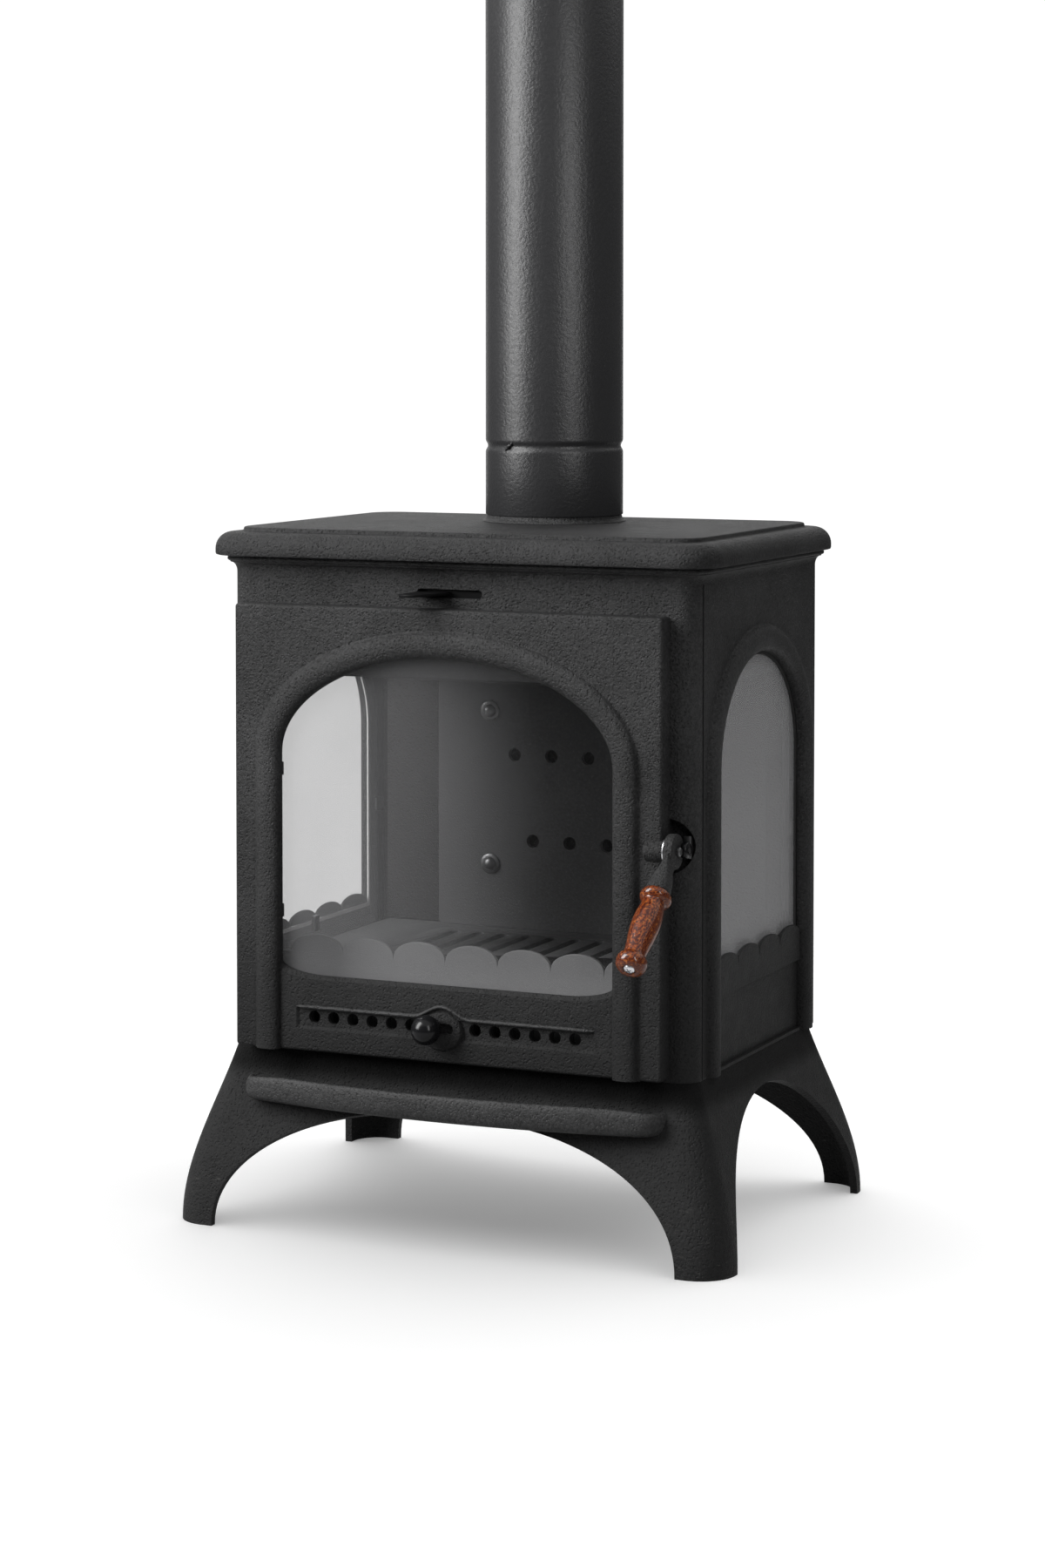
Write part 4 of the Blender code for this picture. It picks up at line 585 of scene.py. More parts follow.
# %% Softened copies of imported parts
def soften(node, material, body, edge=0.0006):
    source = bpy.data.objects[node]
    bm = bmesh.new()
    bm.from_mesh(source.data)
    bmesh.ops.transform(bm, matrix=source.matrix_world, verts=bm.verts)
    bmesh.ops.remove_doubles(bm, verts=bm.verts, dist=TOUCHING)
    bmesh.ops.dissolve_limit(bm, angle_limit=math.radians(0.5), verts=bm.verts, edges=bm.edges)
    bmesh.ops.translate(bm, verts=bm.verts, vec=(0, -FRONT_Y, 0))
    return finish_piece(node + "_soft", bm, material, body, [node], edge, 2, angle=50.0)


for node in ("hearth_plate", "rear_plate"):
    soften(node, IRON, "stove_body", 0.0010)
for node in ("fire_bed", "grate", "baffle_plate", "airwash_deflector"):
    soften(node, LINER_IRON, "stove_body", 0.0008)
soften("rear_liner", SOOTED_IRON, "stove_body", 0.0008)
for node in ("ash_pan", "latch_keeper", "upper_guide_lower", "upper_guide_upper"):
    soften(node, DARK_STEEL, "stove_body", 0.0003)

# %% [markdown]
# The panes, the rope seal, the clips and the pins are right as packed, so they stay and only get
# their material, by a word in their name.

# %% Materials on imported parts
KEPT = {
    DARK_STEEL: ("clip", "hinge_pin", "air_guide", "tie_rod", "handle_pivot_pin"),
    ROPE: ("door_gasket",),
    SIDE_GLASS: ("left_glass", "right_glass"),
    DOOR_GLASS: ("door_glass",),
}
for material, words in KEPT.items():
    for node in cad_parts:
        if any(word in node for word in words):
            slots = bpy.data.objects[node].data.materials
            slots.clear()
            slots.append(material)
            print(node, "keeps its shape, in", material.name)

# %% [markdown]
# The base is one casting: a skirt that runs down into four legs, flaring like a bell, with an arch
# between the feet on every side. Cutting the arches out with a Boolean would leave ragged edges in
# the flare, so the base is laid out as columns round the plan. Each column starts at the top and
# ends on the floor, or on the arch if there is one below it, and the arch's edge is then a clean
# line of the grid. The columns of one quarter are enough, because the other three mirror it.

# %% Base outline
LEG_FLARE = 0.043
FOOT_CORNER = 0.034
BASE_WALL = 0.007
BASE_SEAT = 0.026
FRONT_ARCH = {"half": 0.228, "rise": 0.117, "power": 2.15}
SIDE_ARCH = {"half": 0.160, "rise": 0.134, "power": 1.9}
FRONT_STEPS, CORNER_STEPS, SIDE_STEPS, BASE_ROWS = 30, 14, 26, 22


def flare(z):
    """How far the leg stands out at height z: quick below the body, then easing to the foot."""
    down = (BASE_TOP - z) / BASE_TOP
    return LEG_FLARE * (0.7 * math.sin(math.pi / 2 * down) + 0.3 * (3 * down**2 - 2 * down**3))


def foot_radius(z):
    return BODY_CORNER + (FOOT_CORNER - BODY_CORNER) * flare(z) / LEG_FLARE


def arch_points(arch, steps):
    """From the right foot of an arch to its crown: distance from the middle, and height."""
    points = []
    for k in range(steps + 1):
        angle = math.pi / 2 * k / steps
        away = arch["half"] * max(0.0, math.cos(angle)) ** (2 / arch["power"])
        points.append((away, arch["rise"] * math.sin(angle) ** (2 / arch["power"])))
    return points


def quarter_columns():
    """Columns from the middle of the front round to the middle of the right side.

    Each is (kind, share, bottom): where it stands on the front, corner or side, and how low it runs.
    """
    columns = []
    for away, z in reversed(arch_points(FRONT_ARCH, FRONT_STEPS)):
        columns.append(("front", away / (HALF + flare(z) - foot_radius(z)), z))
    columns.append(("front", (columns[-1][1] + 1) / 2, 0.0))
    columns += [("corner", math.pi / 2 * k / CORNER_STEPS, 0.0) for k in range(CORNER_STEPS + 1)]
    side = arch_points(SIDE_ARCH, SIDE_STEPS)
    shares = [(away / (BODY_DEPTH / 2 + flare(z) - foot_radius(z)), z) for away, z in side]
    columns.append(("side", (shares[0][0] + 1) / 2, 0.0))
    columns += [("side", share, z) for share, z in shares]
    return columns


def on_base(kind, share, z):
    """A point of the base's right front quarter at height z, from the middle of the body."""
    wide, deep, radius = HALF + flare(z), BODY_DEPTH / 2 + flare(z), foot_radius(z)
    if kind == "front":
        return Vector((share * (wide - radius), -deep, z))
    if kind == "corner":
        return Vector((wide - radius + radius * math.sin(share), -deep + radius - radius * math.cos(share), z))
    return Vector((wide, -share * (deep - radius), z))


print("base:", len(quarter_columns()), "columns in a quarter")


# %% [markdown]
# The skin runs from the seat's inner edge out over the seat, where the body stands, then down the
# skirt and the legs. Solidify gives it the wall of a casting, on the inside, for which its faces
# have to point outwards. A bevel then rounds the arch's lip, as the pattern maker would.

# %% Base with four legs
BASE_MIDDLE = Vector((0, BODY_DEPTH / 2, 0.08))


def base_skin():
    quarter = quarter_columns()
    lap = [(item, 1, 1) for item in quarter] + [(item, 1, -1) for item in reversed(quarter[:-1])]
    lap += [(item, -1, -1) for item in quarter[1:]] + [(item, -1, 1) for item in reversed(quarter[:-1])]
    seat = []
    for (kind, share, bottom), sx, sy in lap:
        point = on_base(kind, share, BASE_TOP)
        x, y = min(point.x, HALF - BASE_SEAT), max(point.y, BASE_SEAT - BODY_DEPTH / 2)
        seat.append(Vector((sx * x, sy * y + BODY_DEPTH / 2, BASE_TOP)))
    rows = [seat]
    for step in range(BASE_ROWS + 1):
        row = []
        for (kind, share, bottom), sx, sy in lap:
            z = BASE_TOP + (bottom - BASE_TOP) * step / BASE_ROWS
            point = on_base(kind, share, z)
            row.append(Vector((sx * point.x, sy * point.y + BODY_DEPTH / 2, z)))
        rows.append(row)
    return skin(rows)


base = base_skin()
outward = sum(face.normal.dot(face.calc_center_median() - BASE_MIDDLE) for face in base.faces)
if outward < 0:
    bmesh.ops.reverse_faces(base, faces=base.faces[:])
bmesh.ops.solidify(base, geom=base.faces[:], thickness=BASE_WALL)
bmesh.ops.recalc_face_normals(base, faces=base.faces)
# painted shade: the base takes the darker copy of the iron
finish_piece("base_casting", base, SHADED_BASE_IRON, "stove_body", ["leg_base"], 0.0022, angle=60.0)

# %% [markdown]
# The ash lip is a bowed shelf that catches embers. Its rim is a rounded bar with a shallow channel
# behind it, and both ends curl back into the skirt while the rim sinks a little. A curve with a
# bevel would keep one section all along, so the rim is a skin: the same front line, moved in and
# lifted for each point of the section, and let down near the ends.

# %% Ash lip
LIP_HALF = 0.209
LIP_LOW = 0.117
LIP_TOP = 0.141
LIP_END = 0.028
LIP_BOW = 0.022
LIP_CURL = 0.016
LIP_SINK, SINK_FROM = 0.0055, 0.72
LIP_SECTION = (
    (0.0075, 0.1335), (0.0062, 0.1385), (0.0045, 0.1405), (0.0030, 0.1410), (0.0016, 0.1402), (0.0005, 0.1378),
    (0.0, 0.1340), (0.0, 0.1275), (0.0007, 0.1228), (0.0022, 0.1190), (0.0045, LIP_LOW), (0.0120, LIP_LOW),
)
CHANNEL_EDGE, CHANNEL_TOP = 0.0072, 0.1295


def lip_plan(inset, steps=44):
    """The front line of the lip, moved in by inset, with its two curled ends."""
    half = LIP_HALF - inset
    line = []
    for k in range(steps + 1):
        x = half * (2 * k / steps - 1)
        reach = LIP_END + LIP_BOW * (1 - (x / half) ** 2) - inset
        short = max(0.0, abs(x) - (half - LIP_CURL)) / LIP_CURL
        line.append((x, -reach + (reach - 0.004) * (1 - math.sqrt(max(0.0, 1 - short**2)))))
    return line


def sunk(x, z):
    to_end = max(0.0, abs(x) / LIP_HALF - SINK_FROM) / (1 - SINK_FROM)
    return z - LIP_SINK * to_end**2 * (z - LIP_LOW) / (LIP_TOP - LIP_LOW)


rim = skin([[Vector((x, y, sunk(x, z))) for x, y in lip_plan(inset)] for inset, z in LIP_SECTION])
channel = lip_plan(CHANNEL_EDGE) + [(LIP_HALF - 0.02, -0.004), (-LIP_HALF + 0.02, -0.004)]
lip = merged(rim, plate("Z", LIP_LOW + 0.0004, CHANNEL_TOP, channel))
# painted highlight: the lip takes the paler copy of the iron
finish_piece("ash_lip", lip, HIGHLIGHT_IRON, "stove_body", smooth=50.0)

# %% [markdown]
# The front and the sides carry the same cornice, so its profile is drawn once, as pairs of reach
# and height: straight up the wall, out round a cove, over a small bead and to the top. It could be
# a separate strip, but then a line would show where it meets the wall, which the casting hasn't.

# %% Body profile
CASTING_LOW = BASE_TOP + SEAT
CASTING_TOP = BODY_TOP - SEAT
FRONT_RETURN = 0.0195
CORNICE_REACH = 0.009
CORNICE_DROP = 0.015
COVE_REACH, COVE_HEIGHT = 0.0062, 0.0088
BEAD = ((0.0064, 0.0052), (0.0078, 0.0048), (0.0087, 0.0040), (CORNICE_REACH, 0.0028), (0.0087, 0.0016))


def wall_profile():
    foot = (COVE_REACH, CASTING_TOP - CORNICE_DROP)
    cove = arc(foot, -COVE_REACH, COVE_HEIGHT, 0.0, math.pi / 2, 8)
    bead = [(reach, CASTING_TOP - down) for reach, down in BEAD] + [(0.0080, CASTING_TOP)]
    return [(0.0, CASTING_LOW)] + cove + bead


def front_line(outset, steps=12):
    """The plan of the front from its left return, round both corners, to its right return."""
    side, radius = HALF + outset, BODY_CORNER + outset
    points = [(-side, FRONT_RETURN)]
    for sign, order in ((-1, range(steps + 1)), (1, range(steps, -1, -1))):
        for k in order:
            angle = math.pi / 2 * k / steps
            x = sign * (side - radius + radius * math.cos(angle))
            points.append((x, BODY_CORNER - radius * math.sin(angle)))
    return points + [(side, FRONT_RETURN)]


print("body profile:", len(wall_profile()), "points, front plan:", len(front_line(0.0)), "points")

# %% [markdown]
# What the door needs is cast on the front: two lugs for the hinge pins on the left, and on the right
# a half-moon pocket that the latch roller turns in, with a block behind it. The slot above the door
# is where the tab of the upper air slide comes out. All are plain outlines, pushed to their depth.

# %% Door place, lugs and pocket
DOOR_X = -0.004
DOOR_HALF = 0.210
DOOR_LOW = 0.1645
DOOR_HIGH = 0.5705
DOOR_FRONT = -0.020
DOOR_LEFT = DOOR_X - DOOR_HALF
DOOR_RIGHT = DOOR_X + DOOR_HALF
PIVOT_Y = -0.016
PIVOT_Z = 0.3675
SLOT_LEFT, SLOT_RIGHT, SLOT_Z, SLOT_HALF = -0.039, 0.0257, 0.5837, 0.0039
HINGE_X, HINGE_Y = DOOR_LEFT + 0.0090, -0.0101
HINGE_HEIGHTS = (DOOR_LOW + 0.058, DOOR_HIGH - 0.058)
PIN_BORE = 0.00275
LUG_NECK, LUG_EYE, LUG_HALF, LUG_ROOT = 0.0038, 0.0065, 0.007, 0.003
POCKET_REACH, POCKET_HALF, POCKET_DEPTH, POCKET_LIFT, POCKET_LAP = 0.0206, 0.024, 0.013, 0.002, 0.003


def half_moon():
    middle = (DOOR_RIGHT, PIVOT_Z + POCKET_LIFT)
    inner = DOOR_RIGHT - POCKET_LAP
    moon = arc(middle, POCKET_REACH, POCKET_HALF, -math.pi / 2, math.pi / 2, 28)
    return [(inner, middle[1] - POCKET_HALF)] + moon + [(inner, middle[1] + POCKET_HALF)]


def lug(z):
    start = math.pi / 2 + math.asin(LUG_NECK / LUG_EYE)
    eye = arc((HINGE_X, HINGE_Y), LUG_EYE, LUG_EYE, start, 3 * math.pi - start, 20)
    outline = [(HINGE_X + LUG_NECK, LUG_ROOT), (HINGE_X - LUG_NECK, LUG_ROOT)] + eye
    return plate("Z", z - LUG_HALF, z + LUG_HALF, outline)


print("door", 2 * DOOR_HALF, "by", round(DOOR_HIGH - DOOR_LOW, 4), "m")

# %% [markdown]
# The front itself is a loft: the plan line of the wall's outside and inside, once for each height
# of the profile. The lugs and the block are joined to it, and then the door opening, the slot, the
# pocket and the bores are cut.

# %% Front casting
IN_FRONT, THROUGH = -0.01, 0.016
OPENING_HALF, OPENING_LOW, OPENING_HIGH, OPENING_CORNER = 0.176, 0.184, 0.552, 0.012
BLOCK_LEFT, BLOCK_INSET, BLOCK_BACK = DOOR_RIGHT - 0.008, 0.003, 0.018
BLOCK_LOW, BLOCK_HIGH = PIVOT_Z - 0.027, PIVOT_Z + 0.031
LUG_BORE_HALF = 0.012
ROUND_END = 0.99  # of half a slot's width: its ends look round, but their corners don't meet

inside = list(reversed(front_line(-WALL)))
front = loft("Z", [(z, front_line(reach) + inside) for reach, z in wall_profile()])
sides = (DOOR_X - OPENING_HALF, OPENING_LOW, DOOR_X + OPENING_HALF, OPENING_HIGH)
opening = round_rectangle(*sides, OPENING_CORNER)
sides = (SLOT_LEFT, SLOT_Z - SLOT_HALF, SLOT_RIGHT, SLOT_Z + SLOT_HALF)
tab_slot = round_rectangle(*sides, SLOT_HALF * ROUND_END, 8)
right = HALF - BLOCK_INSET
block = [(BLOCK_LEFT, BLOCK_INSET), (HALF - BODY_CORNER, BLOCK_INSET), (right, BODY_CORNER - BLOCK_INSET)]
block += [(right, BLOCK_BACK), (BLOCK_LEFT, BLOCK_BACK)]
adds = [plate("Z", BLOCK_LOW, BLOCK_HIGH, block)] + [lug(z) for z in HINGE_HEIGHTS]
depths = ((opening, THROUGH), (tab_slot, THROUGH), (half_moon(), POCKET_DEPTH))
cuts = [plate("Y", IN_FRONT, deep, outline) for outline, deep in depths]
cuts += [rod(PIN_BORE, z - LUG_BORE_HALF, z + LUG_BORE_HALF, (HINGE_X, HINGE_Y, 0)) for z in HINGE_HEIGHTS]
front = worked(front, cuts, adds)
finish_piece("front_casting", front, IRON, "stove_body", ["front_frame"], 0.0010)

# %% [markdown]
# A roll is a half-round moulding that runs up one side of a window, over its arch and down the
# other side. Its section has a small fillet at each foot, so that it grows out of the plate instead
# of sitting on it, and on the window's side it turns down into the opening. Sweeping the section
# along the arch in mesh code keeps it square to the path, which a bevelled curve doesn't do evenly.

# %% Roll mouldings
ROLL_WIDTH = 0.024
ROLL_HEIGHT = 0.007
ROLL_STEPS = 12
ROLL_FILLET = ((0.965, 0.0011), (1.02, 0.0004), (1.10, 0.0), (1.16, -0.0006))
LEG_STEPS = 6  # along each straight leg of the arch


def arch_path(middle, half, low, spring, rise, steps):
    """Points and outward directions from the right foot over the arch to the left foot."""
    path = [((middle + half, low + (spring - low) * k / LEG_STEPS), (1.0, 0.0)) for k in range(LEG_STEPS)]
    for k in range(steps + 1):
        angle = math.pi * k / steps
        u, v = math.cos(angle), math.sin(angle)
        normal = Vector((u / half, v / rise)).normalized()
        path.append(((middle + half * u, spring + rise * v), (normal.x, normal.y)))
    for k in range(1, LEG_STEPS + 1):
        path.append(((middle - half, spring + (low - spring) * k / LEG_STEPS), (-1.0, 0.0)))
    return path


def roll_section(reveal):
    """(sideways, out) pairs from the bottom of the reveal, over the roll, to the outer foot."""
    half = ROLL_WIDTH / 2
    section = [(-half, -reveal), (-half, -0.0012)]
    for k in range(1, ROLL_STEPS + 1):
        angle = math.pi * (1 - k / (ROLL_STEPS + 1.5))
        section.append((half * math.cos(angle) * 0.97, ROLL_HEIGHT * math.sin(angle) ** 0.9))
    section += [(half * share, out) for share, out in ROLL_FILLET]
    return section + [(half * ROLL_FILLET[-1][0], -reveal * 0.5), (-half, -reveal)]


def roll(path, reveal, lift):
    """Sweeps the section along a path; lift turns plane coordinates and reach into a point."""
    rows = []
    for side, out in roll_section(reveal):
        rows.append([lift(u + du * side, v + dv * side, out) for (u, v), (du, dv) in path])
    return skin([list(column) for column in zip(*rows)], capped=True)


print("roll section:", len(roll_section(0.004)), "points")

# %% [markdown]
# Each side is a plate with the cornice along its top, an arched window and a sunk panel below it. A
# row of scallops guards the foot of the window. The row is a string of half ovals, which the log
# guard behind the door repeats at its own size, so one function draws both.

# %% Side outlines
SIDE_Y, SIDE_HALF, SIDE_LOW, SIDE_SPRING, SIDE_RISE = 0.164, 0.109, 0.240, 0.430, 0.0975
PANEL_FACE = HALF - 0.0035
PANEL_PLAY, PANEL_FOOT, WINDOW_PLAY, BEYOND, SIDE_REVEAL = 0.001, 0.003, 0.0008, 0.02, 0.004
GUARD_THICKNESS, GUARD_LOW, GUARD_PEAK, SCALLOP_RISE = 0.003, 0.228, 0.264, 0.013


def side_arch(grow, low, steps=48):
    arch = arc((SIDE_Y, SIDE_SPRING), SIDE_HALF + grow, SIDE_RISE + grow, 0.0, math.pi, steps)
    return arch + [(SIDE_Y - SIDE_HALF - grow, low), (SIDE_Y + SIDE_HALF + grow, low)]


def scallops(middle, pitch, count, peak, height, steps=12):
    points = []
    first = middle + pitch * count / 2
    for k in range(count):
        for j in range(steps + (1 if k == count - 1 else 0)):
            angle = math.pi * j / steps
            u = first - pitch * (k + 0.5) + pitch / 2 * math.cos(angle)
            points.append((u, peak - height + height * math.sin(angle) ** 0.8))
    return points


print("side window", 2 * SIDE_HALF, "m wide,", round(SIDE_SPRING + SIDE_RISE - SIDE_LOW, 4), "m high")

# %% [markdown]
# A side plate is the wall's profile pushed along the whole depth, so the cornice comes with it. The
# window and the sunk panel are cut, and the roll runs down past both to the foot of the plate. The
# thickness is drawn in the profile, because Solidify would also thicken the cornice.


# %% Side plate
def side_plate(name, sign):
    profile = [(HALF + reach, z) for reach, z in wall_profile()]
    profile += [(HALF - WALL, CASTING_TOP), (HALF - WALL, CASTING_LOW)]
    wall = plate("Y", FRONT_RETURN + SEAT, BODY_DEPTH, [(sign * x, z) for x, z in profile])
    half = SIDE_HALF + PANEL_PLAY
    panel = rectangle(SIDE_Y - half, CASTING_LOW + PANEL_FOOT, SIDE_Y + half, SIDE_LOW + BEYOND)
    outside = sign * (HALF + BEYOND)
    window = plate("X", sign * (HALF - WALL - 0.01), outside, side_arch(WINDOW_PLAY, SIDE_LOW))
    wall = worked(wall, [window, plate("X", sign * PANEL_FACE, outside, panel)])
    finish_piece(name + "_casting", wall, IRON, "stove_body", [name + "_side"], 0.0013)
    half, rise = SIDE_HALF + ROLL_WIDTH / 2, SIDE_RISE + ROLL_WIDTH / 2
    path = arch_path(SIDE_Y, half, CASTING_LOW, SIDE_SPRING, rise, 48)
    moulding = roll(path, SIDE_REVEAL, lambda u, v, out: Vector((sign * (HALF + out), u, v)))
    finish_piece(name + "_window_roll", moulding, IRON, "stove_body", smooth=60.0)


# %% [markdown]
# Small things tell the eye that the stove was put together by hand: the pale tape that the pane
# rests on, black on the right side as a painted shade, a clip that shows through the glass, and dark
# cement in the joint beside the front. The cement is a thin rod, so that the joint is a real line.
# Under the scallops a thin black strip stands for the shadow below the guard's edge: a painted shadow.

# %% Tape, clip, cement and a painted shadow
SEAL_IN, SEAL_OUT, SEAL_LOW, SEAL_HIGH, SEAL_OUTER, SEAL_INNER = 0.2230, 0.2243, 0.2492, 0.2528, 0.0002, -0.0030
CLIP_IN, CLIP_OUT = 0.2185, 0.2228
CLIP_TAB = rectangle(0.1475, 0.2425, 0.1560, 0.2575)
CEMENT_RADIUS, CEMENT_INSET, CEMENT_START = 0.0011, 0.0005, CASTING_LOW + 0.001
FOOT_IN, FOOT_OUT = PANEL_FACE - 0.0006, PANEL_FACE + 0.0003
# painted shadow: the outline of the black strip below the scallops
GUARD_SHADOW_STRIP = rectangle(SIDE_Y - SIDE_HALF, 0.2266, SIDE_Y + SIDE_HALF, 0.2280)


def side_trim(name, sign):
    outer, inner = side_arch(SEAL_OUTER, SEAL_LOW), side_arch(SEAL_INNER, SEAL_HIGH)
    seal = plate("X", sign * SEAL_IN, sign * SEAL_OUT, outer, [inner])
    # painted shade: the right side's tape is black, standing in for the shade it lies in
    tape = SEAL if name == "left" else SHADED_SEAL
    finish_piece(name + "_glass_seal", seal, tape, "stove_body", smooth=35.0)
    joint = (sign * (HALF - CEMENT_INSET), FRONT_RETURN, 0)
    cement = rod(CEMENT_RADIUS, CEMENT_START, BODY_TOP - CORNICE_DROP, joint, steps=16)
    finish_piece(name + "_joint_cement", cement, BLACK_STEEL, "stove_body", smooth=60.0)
    clip = plate("X", sign * CLIP_IN, sign * CLIP_OUT, CLIP_TAB)
    finish_piece(name + "_glass_clip", clip, DARK_STEEL, "stove_body", edge=0.0006, segments=2)
    # painted shadow: a thin black strip below the scallops stands for the shadow the guard casts
    gap = plate("X", sign * FOOT_IN, sign * FOOT_OUT, GUARD_SHADOW_STRIP)
    finish_piece(name + "_guard_shadow_strip", gap, BLACK_STEEL, "stove_body")


# %% [markdown]
# Left and right differ only by the sign of x, so one loop makes both. The scallops stand on the
# panel's face, a seat's width off it, as two castings that are screwed together do.

# %% Both sides
GUARD_SCALLOPS = 4

for name, sign in (("left", -1), ("right", 1)):
    side_plate(name, sign)
    side_trim(name, sign)
    half = SIDE_HALF - SEAT
    edge = scallops(SIDE_Y, 2 * half / GUARD_SCALLOPS, GUARD_SCALLOPS, GUARD_PEAK, SCALLOP_RISE)
    edge += [(SIDE_Y - half, GUARD_LOW), (SIDE_Y + half, GUARD_LOW)]
    face = PANEL_FACE + SEAT
    guard = plate("X", sign * face, sign * (face + GUARD_THICKNESS), edge)
    guarded = [name + "_window_guard"]
    finish_piece(name + "_scallops", guard, IRON, "stove_body", guarded, 0.0008, angle=50.0)

# %% [markdown]
# The top plate is lofted from rounded rectangles: a quarter-round rim, a flat border and a raised
# panel in the middle. A box with a bevel would have the same radius everywhere, but here the rim is
# large, the step is small and the corners tighten from one layer to the next.

# %% Top plate
TOP_RIM = BODY_TOP + 0.0215
TOP_PANEL = TOP_RIM + 0.004
PIPE_Y, PIPE_RADIUS = 0.219, 0.065
TOP_CORNER, RIM_ROUND, RIM_FROM = 0.038, 0.0158, BODY_TOP + 0.0055
TOP_BORDER, TOP_SKIN, HOLLOW_CORNER, FLUE_HOLE = 0.030, 0.009, 0.010, 0.0600
UNDER_RIM = ((0.030, 0.012, 0.0), (0.0025, 0.0355, 0.0), (0.0006, 0.0374, 0.0006), (0.0, TOP_CORNER, 0.0022))
PANEL_STEP = (
    (0.0200, 0.0295, -0.0001), (0.0212, 0.0284, 0.0004), (0.0218, 0.0279, 0.0014), (0.0221, 0.0276, 0.0028),
    (0.0228, 0.0270, 0.0037),
)


def top_layer(inset, corner, z):
    out = TOP_OVERHANG - inset
    return z, round_rectangle(-HALF - out, -out, HALF + out, BODY_DEPTH + out, corner, 14)


layers = [top_layer(inset, corner, BODY_TOP + up) for inset, corner, up in UNDER_RIM]
layers.append(top_layer(0.0, TOP_CORNER, RIM_FROM))
for k in range(1, 11):
    angle = math.pi / 2 * k / 10
    inset = RIM_ROUND * (1 - math.cos(angle))
    layers.append(top_layer(inset, TOP_CORNER - inset, RIM_FROM + RIM_ROUND * math.sin(angle)))
layers += [top_layer(inset, corner, TOP_RIM + up) for inset, corner, up in PANEL_STEP]
layers.append(top_layer(0.0240, 0.0262, TOP_PANEL))
sides = (-HALF + TOP_BORDER, TOP_BORDER, HALF - TOP_BORDER, BODY_DEPTH - TOP_BORDER)
hollow = plate("Z", BODY_TOP - 0.01, TOP_RIM - TOP_SKIN, round_rectangle(*sides, HOLLOW_CORNER))
flue_hole = rod(FLUE_HOLE, 0.60, 0.65, (0, PIPE_Y, 0), steps=96)
top = worked(loft("Z", layers), [hollow, flue_hole])
# painted shade: the top plate takes the darker copy of the iron
finish_piece("top_casting", top, SHADED_TOP_IRON, "stove_body", ["top_plate"], smooth=35.0)

# %% [markdown]
# The flue pipe slides over a cast collar, and near its foot a rolled groove stiffens it. Both are
# round, so a spun profile gives their shape with every radius in it. The profile closes on itself,
# which leaves the pipe open at both ends and gives its sheet a thickness.

# %% Flue
COLLAR_BASE = TOP_PANEL + SEAT
COLLAR_TOP = COLLAR_BASE + 0.006
COLLAR_LOW, COLLAR_HIGH, COLLAR_NECK = TOP_RIM - TOP_SKIN, COLLAR_TOP + 0.048, 0.0597
PIPE_SHEET, PIPE_PLAY = 0.0015, 0.0005
PIPE_LOW = COLLAR_TOP + SEAT
PIPE_HIGH = PIPE_LOW + 0.488
GROOVE_Z, GROOVE_HALF, GROOVE_DEPTH = PIPE_LOW + 0.065, 0.0065, 0.0021
SPIGOT = PIPE_RADIUS - PIPE_SHEET - PIPE_PLAY
COLLAR_BORE = SPIGOT - 0.005
COLLAR_ROUND = (
    (0.0683, 0.0), (0.0680, 0.0006), (0.0668, 0.0014), (0.0652, 0.0022), (0.0643, 0.0034), (0.0640, 0.0050),
)

collar = [(COLLAR_BORE, COLLAR_LOW), (COLLAR_NECK, COLLAR_LOW), (COLLAR_NECK, COLLAR_BASE)]
collar += [(radius, COLLAR_BASE + up) for radius, up in COLLAR_ROUND]
collar += [(0.0636, COLLAR_TOP), (SPIGOT, COLLAR_TOP), (SPIGOT, COLLAR_HIGH), (COLLAR_BORE, COLLAR_HIGH)]
collar = turned(collar, (0, PIPE_Y, 0), steps=96, ring=True)
finish_piece("flue_collar_turned", collar, IRON, "stove_body", ["flue_collar"], smooth=38.0)

outer = [(PIPE_RADIUS - 0.0004, PIPE_LOW), (PIPE_RADIUS, PIPE_LOW + 0.0006), (PIPE_RADIUS, GROOVE_Z - 0.0075)]
for k in range(17):
    along = k / 16 * 2 - 1
    depth = GROOVE_DEPTH * (0.5 + 0.5 * math.cos(math.pi * along)) ** 1.3
    outer.append((PIPE_RADIUS - depth, GROOVE_Z + GROOVE_HALF * along))
outer += [(PIPE_RADIUS, PIPE_HIGH - 0.0006), (PIPE_RADIUS - 0.0004, PIPE_HIGH)]
inner = [(radius - PIPE_SHEET, z) for radius, z in reversed(outer)]
pipe = turned(outer + inner, (0, PIPE_Y, 0), steps=112, ring=True)
finish_piece("flue_pipe_turned", pipe, PIPE_PAINT, "stove_body", ["flue_pipe"], smooth=38.0)

# %% [markdown]
# Sheet rolled into a pipe has a seam, and a short weld in the groove closes it. It shows as a small
# bulge that catches the light, so a little lens of metal, laid along the groove with a ripple in
# its thickness, does more than a line of paint would.

# %% Seam weld in the groove
WELD_BEARING, WELD_HALF_ANGLE = math.radians(-17.8), 0.075
WELD_THICK, WELD_DEEP, WELD_SLOPE = 0.0016, 0.0008, 0.0035
WELD_UP = Vector((0, 0, 1.3))
rows = []
for k in range(13):
    along = k / 6 - 1
    thick = WELD_THICK * math.sqrt(max(0.0, 1 - along**2)) * (1 + 0.25 * math.cos(9 * along)) + 0.00005
    bearing = WELD_BEARING + along * WELD_HALF_ANGLE
    outward = Vector((math.sin(bearing), -math.cos(bearing), 0.0))
    spine = Vector((0, PIPE_Y, GROOVE_Z + WELD_SLOPE * along)) + outward * (PIPE_RADIUS - WELD_DEEP)
    circle = [2 * math.pi * j / 12 for j in range(13)]
    rows.append([spine + (outward * math.cos(a) + WELD_UP * math.sin(a)) * thick for a in circle])
